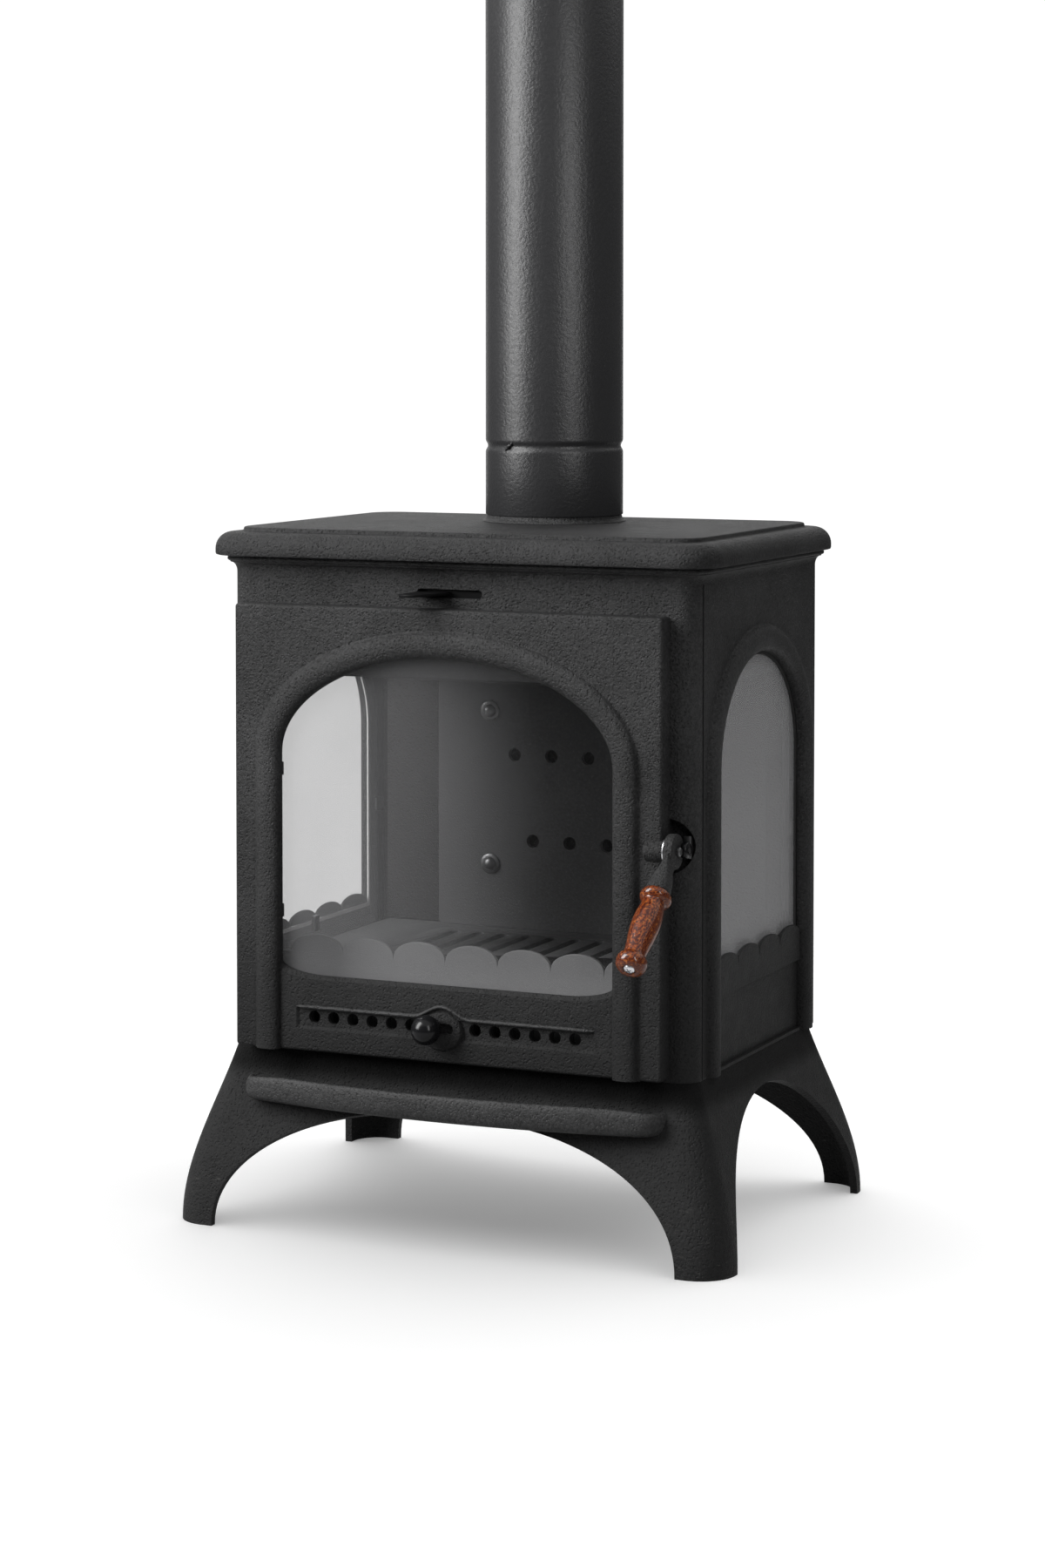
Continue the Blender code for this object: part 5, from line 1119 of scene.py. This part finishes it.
finish_piece("seam_weld", skin(rows, capped=True), PIPE_PAINT, "stove_body", smooth=70.0)

# %% [markdown]
# The door is a shallow pan. Its window is an elliptic arch on straight sides, with wide shallow
# corners at the foot, and a row of twelve air holes runs below it. The outlines come first, because
# the casting, the moulding and the air slide all follow them.

# %% Door outlines
DOOR_BACK = -0.0006
SKIN_BACK = DOOR_FRONT + 0.006
WINDOW_HALF, WINDOW_LOW, WINDOW_SPRING, WINDOW_RISE = 0.164, 0.2345, 0.436, 0.091
WINDOW_CORNER_U, WINDOW_CORNER_V = 0.046, 0.013
AIR_Z, AIR_PITCH, AIR_RADIUS, AIR_FIRST = 0.1962, 0.0194, 0.0057, 0.03175
AIR_MIDDLE = DOOR_X - 0.001
KNOB_X, KNOB_SLOT = -0.014, 0.0165


def door_window(grow):
    half, low = WINDOW_HALF + grow, WINDOW_LOW - grow
    points = arc((DOOR_X, WINDOW_SPRING), half, WINDOW_RISE + grow, 0.0, math.pi, 56)
    for start, side in ((math.pi, -1), (1.5 * math.pi, 1)):
        middle = (DOOR_X + side * (half - WINDOW_CORNER_U), low + WINDOW_CORNER_V)
        points += arc(middle, WINDOW_CORNER_U, WINDOW_CORNER_V, start, start + math.pi / 2, 12)
    return points


def air_holes():
    for side in (-1, 1):
        for k in range(6):
            yield AIR_MIDDLE + side * (AIR_FIRST + AIR_PITCH * k)


print("door window:", len(door_window(0.0)), "points, with", len(list(air_holes())), "air holes below it")

# %% [markdown]
# The door's face is a loft with a rounded outer edge. It is hollowed from behind, and then the
# window, the strip for the air holes, the holes, the round column at the hinges and the notches for
# the lugs are cut. The window's cutter widens in steps, so the edge of the opening is bevelled
# towards the front, where the roll moulding covers it.

# %% Door casting
DOOR_EDGE, DOOR_RIM, HINGE_ROUND = 0.003, 0.005, 0.009
STRIP_LOW, STRIP_HIGH = 0.1862, 0.2045
STRIP_LAYERS = (
    (-0.004, -0.1545, STRIP_LOW - 0.0045, 0.1465),
    (0.0, -0.1515, STRIP_LOW - 0.0014, 0.1435),
    (0.0018, -0.1490, STRIP_LOW + 0.0010, 0.1410),
)
WINDOW_LAYERS = (
    (DOOR_FRONT - 0.006, 0.0046), (DOOR_FRONT - 0.0001, 0.0042), (DOOR_FRONT + 0.0034, 0.0008),
    (SKIN_BACK + 0.002, 0.0007),
)
NOTCH, NOTCH_HALF, BORE_HALF = 0.0071, 0.0076, 0.021
COLUMN_WIDTH, CLEAR = 0.0192, 0.01

profile = [(0.0, DOOR_BACK)]
profile += arc((DOOR_EDGE, DOOR_FRONT + DOOR_EDGE), -DOOR_EDGE, -DOOR_EDGE, 0.0, math.pi / 2, 6)
layers = []
for inset, y in profile:
    sides = (DOOR_LEFT + inset, DOOR_LOW + inset, DOOR_RIGHT - inset, DOOR_HIGH - inset)
    layers.append((y, round_rectangle(*sides, 0.0032 - inset * 0.9, 4)))
slab = loft("Y", layers)
pan = rectangle(DOOR_LEFT + COLUMN_WIDTH, DOOR_LOW + DOOR_RIM, DOOR_RIGHT - DOOR_RIM, DOOR_HIGH - DOOR_RIM)
column = [(DOOR_LEFT - CLEAR, HINGE_Y)]
column += arc((HINGE_X, HINGE_Y), HINGE_ROUND, HINGE_ROUND, math.pi, math.pi / 2, 12)
column += [(HINGE_X, CLEAR), (DOOR_LEFT - CLEAR, CLEAR)]
window = loft("Y", [(y, door_window(grow)) for y, grow in WINDOW_LAYERS])
strip = loft("Y", [
    (DOOR_FRONT + back, round_rectangle(left, low, right, STRIP_HIGH, 0.002))
    for back, left, low, right in STRIP_LAYERS
])
cuts = [plate("Y", SKIN_BACK, CLEAR, pan), plate("Z", DOOR_LOW - CLEAR, DOOR_HIGH + CLEAR, column), window, strip]
notch = rectangle(DOOR_LEFT - CLEAR, HINGE_Y - NOTCH, HINGE_X + NOTCH, CLEAR)
for z in HINGE_HEIGHTS:
    cuts.append(plate("Z", z - NOTCH_HALF, z + NOTCH_HALF, notch))
    cuts.append(rod(PIN_BORE, z - BORE_HALF, z + BORE_HALF, (HINGE_X, HINGE_Y, 0)))
for x in air_holes():
    cuts.append(rod(AIR_RADIUS, DOOR_FRONT - CLEAR, SKIN_BACK + 0.002, (x, 0, AIR_Z), "Y", 28))
finish_piece("door_casting", worked(slab, cuts), IRON, "door", ["door"], 0.0008)

# %% [markdown]
# The same roll as on the sides frames the door's window. It is a piece of its own that turns down
# into the opening, so there is no need to join it to the slab.

# %% Door moulding
DOOR_REVEAL = 0.0055
half, rise = WINDOW_HALF + ROLL_WIDTH / 2, WINDOW_RISE + ROLL_WIDTH / 2
path = arch_path(DOOR_X, half, DOOR_LOW, WINDOW_SPRING, rise, 60)
moulding = roll(path, DOOR_REVEAL, lambda u, v, out: Vector((u, DOOR_FRONT - out, v)))
finish_piece("door_roll", moulding, IRON, "door", smooth=60.0)

# %% [markdown]
# The oval boss behind the knob has a slot for the knob's stem. It is lofted from ovals that shrink
# as they come forward, which rounds its edge. The slot is cut right through with the door's.

# %% Knob boss
SLOT_HALF_WIDTH = 0.0047
BOSS_MIDDLE, BOSS_U, BOSS_V = (AIR_MIDDLE, AIR_Z - 0.003), 0.0195, 0.0170
BOSS_LAYERS = (
    (0.0010, -0.0026), (0.0010, 0.0), (0.0003, 0.0006), (0.0, 0.0016), (-0.0006, 0.0024), (-0.0018, 0.0028),
)

layers = [(DOOR_FRONT - out, oval(BOSS_MIDDLE, BOSS_U + grow, BOSS_V + grow, 56)) for grow, out in BOSS_LAYERS]
low, high = AIR_Z - SLOT_HALF_WIDTH, AIR_Z + SLOT_HALF_WIDTH
left, right = KNOB_X - SLOT_HALF_WIDTH, KNOB_X + KNOB_SLOT + SLOT_HALF_WIDTH
stem_slot = round_rectangle(left, low, right, high, SLOT_HALF_WIDTH * ROUND_END, 8)
knob_boss = worked(loft("Y", layers), [plate("Y", DOOR_FRONT - 0.02, SKIN_BACK + 0.002, stem_slot)])
finish_piece("knob_boss", knob_boss, IRON, "door", smooth=50.0)

# %% [markdown]
# A thin rib runs over the holes like an eyebrow, rises over the boss and ends in points. Sweeping
# an oval along it and shrinking the oval near both ends gives the points without any cutting.

# %% Rib over the air holes
RIB_LEFT, RIB_RIGHT, RIB_STEPS = -0.152, 0.144, 120
RIB_Z, RIB_RISE, RIB_RISE_HALF = 0.2052, 0.0100, 0.0285
RIB_OUT, RIB_HIGH, RIB_SUNK, RIB_POINT = 0.0030, 0.0019, 0.0004, 0.010


def rib_line(x):
    """Height of the rib at x: straight, with a rise over the boss."""
    along = (x - AIR_MIDDLE) / RIB_RISE_HALF
    return RIB_Z + (RIB_RISE * (0.5 + 0.5 * math.cos(math.pi * along)) if abs(along) < 1 else 0.0)


rows = []
for k in range(RIB_STEPS + 1):
    x = RIB_LEFT + (RIB_RIGHT - RIB_LEFT) * k / RIB_STEPS
    taper = min(1.0, min(x - RIB_LEFT, RIB_RIGHT - x) / RIB_POINT + 0.04) ** 0.5
    row = []
    for j in range(17):
        angle = 2 * math.pi * j / 16
        y = DOOR_FRONT + RIB_SUNK - RIB_OUT * taper * math.sin(angle)
        row.append(Vector((x, y, rib_line(x) + RIB_HIGH * taper * math.cos(angle))))
    rows.append(row)
# painted highlight: the rib takes the paler copy of the iron
finish_piece("air_strip_rib", skin(rows, capped=True), HIGHLIGHT_IRON, "door", smooth=60.0)

# %% [markdown]
# The handle turns in a round boss on the door's right edge, which is bored for the pivot pin. Its
# profile is spun about the X axis, with the bore and the rounded rim drawn in.

# %% Latch boss on the door
BOSS_END = DOOR_RIGHT + 0.0022
PIVOT_BORE = 0.00325
profile = [(0, BOSS_END - 0.0180), (0.0088, BOSS_END - 0.0180), (0.0100, BOSS_END - 0.0165)]
profile += [(0.0100, BOSS_END - 0.0012), (0.0096, BOSS_END - 0.0003), (0.0090, BOSS_END)]
profile += [(PIVOT_BORE, BOSS_END), (PIVOT_BORE, BOSS_END - 0.012), (0, BOSS_END - 0.012)]
latch_boss = turned(profile, (0, PIVOT_Y, PIVOT_Z), "X", 48)
finish_piece("latch_boss", latch_boss, IRON, "door", smooth=35.0)

# %% [markdown]
# The air slide behind the door's holes is a strip with holes of its own, which closes them as it
# moves. The knob that moves it is a glossy ball on a stem: stem, neck and ball are one profile spun
# about the Y axis, so no join shows between them. The upper slide is only softened.

# %% Air slide, knob and tab
SLIDE_FRONT, SLIDE_THICKNESS, SLIDE_HALF, SLIDE_TALL = SKIN_BACK + SEAT, 0.002, 0.152, 0.010
BRIDGE = 0.0001  # the slide's holes are this much narrower than the iron between the door's
KNOB_RADIUS = 0.0134
KNOB_Y = DOOR_FRONT - 0.0145
STEM_RADIUS = 0.0040
outline = rectangle(DOOR_X - SLIDE_HALF, AIR_Z - SLIDE_TALL, DOOR_X + SLIDE_HALF, AIR_Z + SLIDE_TALL)
holes = [oval((x, AIR_Z), AIR_PITCH / 2 - AIR_RADIUS - BRIDGE, AIR_RADIUS, 24) for x in air_holes()]
slide = plate("Y", SLIDE_FRONT, SLIDE_FRONT + SLIDE_THICKNESS, outline, holes)
finish_piece("air_slide_strip", slide, BLACK_STEEL, "air_slider", ["air_slide"], smooth=35.0)

profile = [(0, SKIN_BACK), (STEM_RADIUS, SKIN_BACK), (STEM_RADIUS, KNOB_Y + 0.0122), (0.0052, KNOB_Y + 0.0116)]
for k in range(5, 40):
    angle = math.pi * k / 40
    profile.append((KNOB_RADIUS * math.sin(angle), KNOB_Y + KNOB_RADIUS * math.cos(angle)))
profile.append((0, KNOB_Y - KNOB_RADIUS))
knob = turned(profile, (KNOB_X, 0, AIR_Z), "Y", 56)
finish_piece("air_knob_ball", knob, GLOSS_BLACK, "air_slider", ["air_knob"], smooth=60.0)
soften("upper_air_slide", BLACK_STEEL, "upper_air_slider", 0.0004)

# %% [markdown]
# The handle leans down at 41 degrees, which is awkward to draw. Its hub is drawn in place, while
# the neck and all that follows it are drawn upright on the Z axis and then tipped about the pivot.
# The neck is lofted through squarish ovals, flat where it leaves the hub and round at the grip, as
# a smith draws a bar out.

# %% Handle forging
HUB_X, HUB_THICKNESS = 0.2110, 0.0085
HANDLE_DROP = math.radians(41)
GRIP_START, GRIP_LENGTH = 0.0480, 0.0845
HUB_MIDDLE = HUB_X + HUB_THICKNESS / 2
SQUARENESS = 2.6
NECK = (
    (0.0095, 0.0120, 0.0040), (0.0135, 0.0108, 0.0041), (0.0175, 0.0096, 0.0043), (0.0210, 0.0088, 0.0052),
    (0.0255, 0.0088, 0.0068), (0.0320, 0.0094, 0.0086), (0.0400, 0.0102, 0.0100), (0.0462, 0.0108, 0.0106),
    (0.0474, 0.0104, 0.0102), (GRIP_START, 0.0096, 0.0096),
)
HUB = (
    (PIVOT_BORE, 0.0), (0.0142, 0.0), (0.0151, 0.0004), (0.0155, 0.0014), (0.0155, 0.0071), (0.0151, 0.0081),
    (0.0142, HUB_THICKNESS), (PIVOT_BORE, HUB_THICKNESS),
)
STUB = ((0, -0.001), (0.0026, -0.001), (0.0026, 0.0062), (0.0021, 0.0065), (0, 0.0065))
TANG_RADIUS, TANG_END = 0.004, 0.120
PIN_Y = PIVOT_Y + 0.012
ROLLER_X = HUB_X + HUB_THICKNESS + SEAT


def tipped(bm):
    """Tips an upright piece down to the handle's lean and sets it on the pivot."""
    lean = Matrix.Rotation(math.pi / 2 + HANDLE_DROP, 3, "X")
    bmesh.ops.rotate(bm, verts=bm.verts, matrix=lean, cent=(0, 0, 0))
    bmesh.ops.translate(bm, verts=bm.verts, vec=(HUB_MIDDLE, PIVOT_Y, PIVOT_Z))
    bmesh.ops.recalc_face_normals(bm, faces=bm.faces)
    return bm


rows = []
for along, wide, thick in NECK:
    row = []
    for k in range(41):
        angle = 2 * math.pi * k / 40
        u, v = math.cos(angle), math.sin(angle)
        square = 1.0 / (abs(u) ** SQUARENESS + abs(v) ** SQUARENESS) ** (1 / SQUARENESS)
        row.append(Vector((thick * u * square, wide * v * square, along)))
    rows.append(row)
hub = turned([(radius, HUB_X + x) for radius, x in HUB], (0, PIVOT_Y, PIVOT_Z), "X", 64, ring=True)
neck = tipped(skin(rows, capped=True))
stub = turned([(radius, ROLLER_X + x) for radius, x in STUB], (0, PIN_Y, PIVOT_Z), "X", 32)
tang = tipped(rod(TANG_RADIUS, GRIP_START - 0.002, TANG_END, (0, 0, 0), steps=48))
forging = merged(hub, neck, stub, tang)
finish_piece("handle_forging", forging, IRON, "handle", ["handle_lever"], smooth=38.0)

# %% [markdown]
# The grip is one turned shape: a bead, a waist, a long barrel and a ball at the end. The profile
# was measured from its outline as shares of its length and of its greatest radius, so the same
# numbers fit a longer or thicker grip.

# %% Turned grip
GRIP_RADIUS, GRIP_BORE = 0.0140, 0.0043
GRIP_SHAPE = (
    (0.000, 0.60), (0.006, 0.82), (0.020, 0.94), (0.045, 1.00), (0.070, 1.00), (0.092, 0.95), (0.108, 0.86),
    (0.118, 0.78), (0.128, 0.735), (0.140, 0.725), (0.165, 0.735), (0.210, 0.775), (0.270, 0.835),
    (0.330, 0.875), (0.390, 0.893), (0.450, 0.890), (0.510, 0.868), (0.570, 0.832), (0.630, 0.788),
    (0.690, 0.742), (0.745, 0.704), (0.785, 0.682), (0.812, 0.676), (0.826, 0.700), (0.836, 0.765),
    (0.850, 0.865), (0.872, 0.940), (0.900, 0.972), (0.930, 0.960), (0.958, 0.905), (0.980, 0.810),
    (0.994, 0.670), (1.000, 0.530), (0.996, 0.420), (0.985, 0.395),
)
start = GRIP_START + SEAT
profile = [(GRIP_BORE, start)]
profile += [(GRIP_RADIUS * wide, start + GRIP_LENGTH * along) for along, wide in GRIP_SHAPE]
profile.append((GRIP_BORE, start + GRIP_LENGTH * 0.985))
grip = tipped(turned(profile, (0, 0, 0), steps=72, ring=True))
finish_piece("turned_grip", grip, WOOD, "handle", ["handle_grip"], smooth=60.0)

# %% [markdown]
# A domed screw with a cross slot holds the grip on its tang. The slots are two thin plates cut out
# of the dome before it is tipped, turned a little so that the cross isn't square to the handle.

# %% End screw
SCREW_Z = GRIP_START + GRIP_LENGTH - 0.0012
SCREW = (
    (0, -0.008), (0.0030, -0.008), (0.0030, 0.0), (0.0049, 0.0), (0.0050, 0.0006), (0.0044, 0.0016),
    (0.0030, 0.0023), (0.0014, 0.0026), (0, 0.0027),
)
SLOT_LONG, SLOT_WIDE, CROSS_TURN = 0.0029, 0.00045, 0.3
screw = turned([(radius, SCREW_Z + z) for radius, z in SCREW], (0, 0, 0), steps=48)
slots = []
for turn in (CROSS_TURN, CROSS_TURN + math.pi / 2):
    outline = round_rectangle(-SLOT_LONG, -SLOT_WIDE, SLOT_LONG, SLOT_WIDE, 0.0002, 3)
    groove = plate("Z", SCREW_Z + 0.0010, SCREW_Z + 0.0060, outline)
    bmesh.ops.rotate(groove, verts=groove.verts, matrix=Matrix.Rotation(turn, 3, "Z"), cent=(0, 0, 0))
    slots.append(groove)
screw = tipped(worked(screw, slots))
finish_piece("cross_screw", screw, ZINC, "handle", ["handle_end_screw"], smooth=35.0)

# %% [markdown]
# The latch roller turns on a stub of the forging, and a bright washer lies between the hub and the
# door's boss. Both are rings, so their profiles close on themselves round the bore.

# %% Roller and washer
ROLLER = (
    (0.0029, 0.0), (0.0064, 0.0), (0.0071, 0.0005), (0.0075, 0.0015), (0.0075, 0.0040), (0.0071, 0.0050),
    (0.0064, 0.0055), (0.0029, 0.0055),
)
WASHER_X = BOSS_END + SEAT
WASHER = (
    (PIVOT_BORE, 0.0), (0.0112, 0.0), (0.0117, 0.0005), (0.0117, 0.0017), (0.0112, 0.0022),
    (PIVOT_BORE, 0.0022),
)
roller = turned([(radius, ROLLER_X + x) for radius, x in ROLLER], (0, PIN_Y, PIVOT_Z), "X", 48, ring=True)
finish_piece("glossy_roller", roller, GLOSS_BLACK, "handle", ["latch_roller"], smooth=50.0)
washer = turned([(radius, WASHER_X + x) for radius, x in WASHER], (0, PIVOT_Y, PIVOT_Z), "X", 48, ring=True)
finish_piece("bright_washer", washer, ZINC, "door", ["handle_washer"], smooth=35.0)

# %% [markdown]
# Inside the firebox a scalloped log guard keeps the logs off the glass. Its face rises from a ledge
# that lies on the fire bed, so it is two plates at right angles, joined by a Boolean.

# %% Log guard
BED_TOP = 0.240
GUARD_FRONT, BED_FRONT, LEDGE_BACK = 0.0312, 0.0360, 0.045
LOG_PITCH, LOG_COUNT, LOG_PEAK, LOG_RISE = 0.0523, 7, 0.262, 0.017
APRON_TOP, APRON_LOW = 0.245, 0.212
guard_half = LOG_PITCH * (LOG_COUNT + 0.5) / 2
edge = [(guard_half, APRON_TOP)] + scallops(0, LOG_PITCH, LOG_COUNT, LOG_PEAK, LOG_RISE, 16)
edge += [(-guard_half, APRON_TOP), (-guard_half, APRON_LOW), (guard_half, APRON_LOW)]
shelf = rectangle(-guard_half, GUARD_FRONT + 0.002, guard_half, LEDGE_BACK)
ledge = plate("Z", BED_TOP + SEAT, BED_TOP + 0.004, shelf)
log_guard = worked(plate("Y", GUARD_FRONT, BED_FRONT - SEAT, edge), adds=[ledge])
guarded = ["log_guard"]
finish_piece(
    "scalloped_log_guard", log_guard, GUARD_IRON, "stove_body", guarded, 0.0010, angle=50.0
)

# %% [markdown]
# A plate with two rows of air holes hangs on the rear liner by four domed bolts. The holes are part
# of its outline, which is cleaner than drilling them afterwards, and the bolts are one profile with
# a washer's rim, spun four times.

# %% Fireback and bolts
BACK_Y = 0.262 - SEAT
FIREBACK_THICKNESS, FIREBACK_HALF, FIREBACK_TOP = 0.006, 0.139, 0.490
HOLE_ROWS, HOLE_PITCH, HOLE_RADIUS = ((4, 0.409), (3, 0.326)), 0.0385, 0.0064
BOLT_X, BOLT_HEIGHTS = 0.0835, (("lower", 0.302), ("upper", 0.451))
BOLT = (
    (0, 0.0), (0.0098, 0.0), (0.0098, 0.0010), (0.0094, 0.0014), (0.0062, 0.0014), (0.0060, 0.0026),
    (0.0052, 0.0040), (0.0036, 0.0052), (0, 0.0058),
)
holes = []
for count, z in HOLE_ROWS:
    row = [HOLE_PITCH * (k - (count - 1) / 2) for k in range(count)]
    holes += [oval((x, z), HOLE_RADIUS, HOLE_RADIUS, 28) for x in row]
outline = round_rectangle(-FIREBACK_HALF, BED_TOP + SEAT, FIREBACK_HALF, FIREBACK_TOP, 0.004, 5)
fireback = plate("Y", BACK_Y - FIREBACK_THICKNESS, BACK_Y, outline, holes)
finish_piece(
    "holed_fireback", fireback, LINER_IRON, "stove_body", ["fireback"], 0.0003, 2, angle=50.0
)
head = BACK_Y - FIREBACK_THICKNESS - SEAT
for hand, side in (("left", -1), ("right", 1)):
    for level, z in BOLT_HEIGHTS:
        bolt = turned([(radius, head - out) for radius, out in BOLT], (side * BOLT_X, 0, z), "Y", 32)
        name = hand + "_" + level
        replaced = ["fireback_bolt_" + name]
        finish_piece("domed_bolt_" + name, bolt, DARK_STEEL, "stove_body", replaced, smooth=60.0)

# %% [markdown]
# The photograph has an even white ground without a horizon. A sweep behind the stove would show in
# other views, so the floor is a flat disc that glows a little and fades out towards its edge, where
# Alpha lets the room behind it through. What is left of it is the soft shadow under the feet.

# %% Floor
FLOOR_RADIUS, FADE_FROM, FADE_TO = 1.65, 1.15, 1.62


def studio_white():
    finish = Finish("studio white")
    shade = finish.blend(finish.noise(3.0), (0.90, 0.90, 0.90), (0.92, 0.92, 0.92))
    reach = finish.node("ShaderNodeVectorMath", {"operation": "LENGTH"}, {0: finish.place}, out="Value")
    seen = 1 - finish.ramp(reach, FADE_FROM, FADE_TO)
    return finish.surface(shade, 0.85, Alpha=seen, Emission_Color=(1.0, 1.0, 1.0), Emission_Strength=0.24)


floor = as_object(plate("Z", -0.002, 0.0, oval((0.0, 0.0), FLOOR_RADIUS, FLOOR_RADIUS, 128)), "studio_floor")
floor.data.materials.append(studio_white())
print("floor", 2 * FLOOR_RADIUS, "m across")

# %% [markdown]
# Black iron shows little but what it mirrors, so the room matters more than the paint. All white, it
# would turn the stove grey. The room is white only in a narrow part behind the stove, as the camera
# sees it, and dim all round. The World's shader looks at the direction of each ray, and a dot
# product says how close it is to the middle of the bright part.

# %% Room
BRIGHT_ROOM, DIM_ROOM = 1.08, 0.13
BRIGHT_TOWARDS, DIM_BELOW, BRIGHT_ABOVE = (-0.45, 0.89, 0.0), 0.90, 0.96
world = bpy.data.worlds.new("studio room")
room = Shader(world)
direction = room.node("ShaderNodeTexCoord", out="Generated")
towards = room.node(
    "ShaderNodeVectorMath", {"operation": "DOT_PRODUCT"}, {0: direction, 1: BRIGHT_TOWARDS}, out="Value"
)
white = room.ramp(towards, DIM_BELOW, BRIGHT_ABOVE, DIM_ROOM, BRIGHT_ROOM)
background = room.node("ShaderNodeBackground", values={"Color": white})
room.node("ShaderNodeOutputWorld", values={"Surface": background})
bpy.context.scene.world = world
bpy.context.scene.view_settings.view_transform = "Standard"
print("room", DIM_ROOM, "to", BRIGHT_ROOM)

# %% [markdown]
# Two softboxes stand left and right of the camera and shape the castings. They leave the floor out,
# which would get a bright patch from them. Two more strips light the pipe alone: the wide one on
# the left draws its long highlight, and the narrow one on the right its faint second one. Light
# linking says which object a lamp reaches. A wide soft sun overhead keeps the floor white and puts
# the shadow under the stove.

# %% Lamps
AIM = Vector((0, 0, 0.5))
OVERHEAD_STRENGTH, OVERHEAD_SPREAD = 2.8, math.radians(120)


def softbox(name, bearing, distance, height, size, radiance):
    """A lamp at a bearing round from the stove's front, to the left below zero, facing the stove."""
    lamp = bpy.data.lights.new(name, "AREA")
    lamp.shape = "RECTANGLE"
    lamp.size, lamp.size_y = size
    lamp.energy = radiance * math.pi * size[0] * size[1]
    obj = bpy.data.objects.new(name, lamp)
    angle = math.radians(bearing)
    obj.location = (distance * math.sin(angle), -distance * math.cos(angle), height)
    obj.rotation_euler = (AIM - obj.location).to_track_quat("-Z", "Y").to_euler()
    bpy.context.scene.collection.objects.link(obj)
    return obj


def light_group(name, member, state):
    """A collection that says which object a lamp leaves out, or which alone it lights."""
    group = bpy.data.collections.new(name)
    group.objects.link(member)
    group.collection_objects[0].light_linking.link_state = state
    return group


unlit = light_group("not lit by the softboxes", floor, "EXCLUDE")
pipe_alone = light_group("lit by the pipe's strips", bpy.data.objects["flue_pipe_turned"], "INCLUDE")
for group, lamp in (
    (unlit, softbox("left softbox", -48, 3.0, 2.35, (1.6, 3.0), 26.0)),
    (unlit, softbox("right softbox", 48, 3.6, 2.0, (0.55, 2.4), 15.0)),
    (pipe_alone, softbox("left strip for the pipe", -47, 3.0, 0.60, (1.3, 1.3), 13.0)),
    (pipe_alone, softbox("right strip for the pipe", 58, 3.6, 1.5, (1.1, 3.4), 7.5)),
):
    lamp.light_linking.receiver_collection = group
    print(lamp.name, round(lamp.data.energy), "W")
overhead = bpy.data.lights.new("overhead", "SUN")
overhead.energy = OVERHEAD_STRENGTH
overhead.angle = OVERHEAD_SPREAD
overhead_lamp = bpy.data.objects.new("overhead", overhead)
overhead_lamp.rotation_euler = (math.radians(-12), math.radians(-4), 0.0)
bpy.context.scene.collection.objects.link(overhead_lamp)

# %% [markdown]
# The camera comes from the photograph: its place, its heading of 24 degrees round the stove, its
# small tilt and its long lens were fitted to the stove's straight edges. The photograph's frame
# sits low in what the lens saw, so the camera is shifted instead of tilted further, which keeps
# upright lines nearly upright. Its axes are built by hand, because the fit gave them.

# %% Camera
HEADING, TILT = 0.421, 0.05
CAMERA_PLACE = (1.37289, -2.92089 + FRONT_Y, 0.82519)
camera_data = bpy.data.cameras.new("photograph")
camera_data.sensor_fit = "VERTICAL"
camera_data.sensor_height = 36.0
camera_data.lens = 83.24
camera_data.shift_y = -0.1782
camera_data.clip_end = 50.0
camera = bpy.data.objects.new("photograph", camera_data)
right = Vector((math.cos(HEADING), math.sin(HEADING), 0.0))
level = Vector((-math.sin(HEADING), math.cos(HEADING), 0.0))
ahead = level * math.cos(TILT) - Vector((0, 0, 1)) * math.sin(TILT)
above = right.cross(ahead)
turn = Matrix((right, above, -ahead)).transposed().to_4x4()
camera.matrix_world = Matrix.Translation(CAMERA_PLACE) @ turn
bpy.context.scene.collection.objects.link(camera)
bpy.context.scene.camera = camera
print("camera at", [round(value, 3) for value in camera.matrix_world.translation])
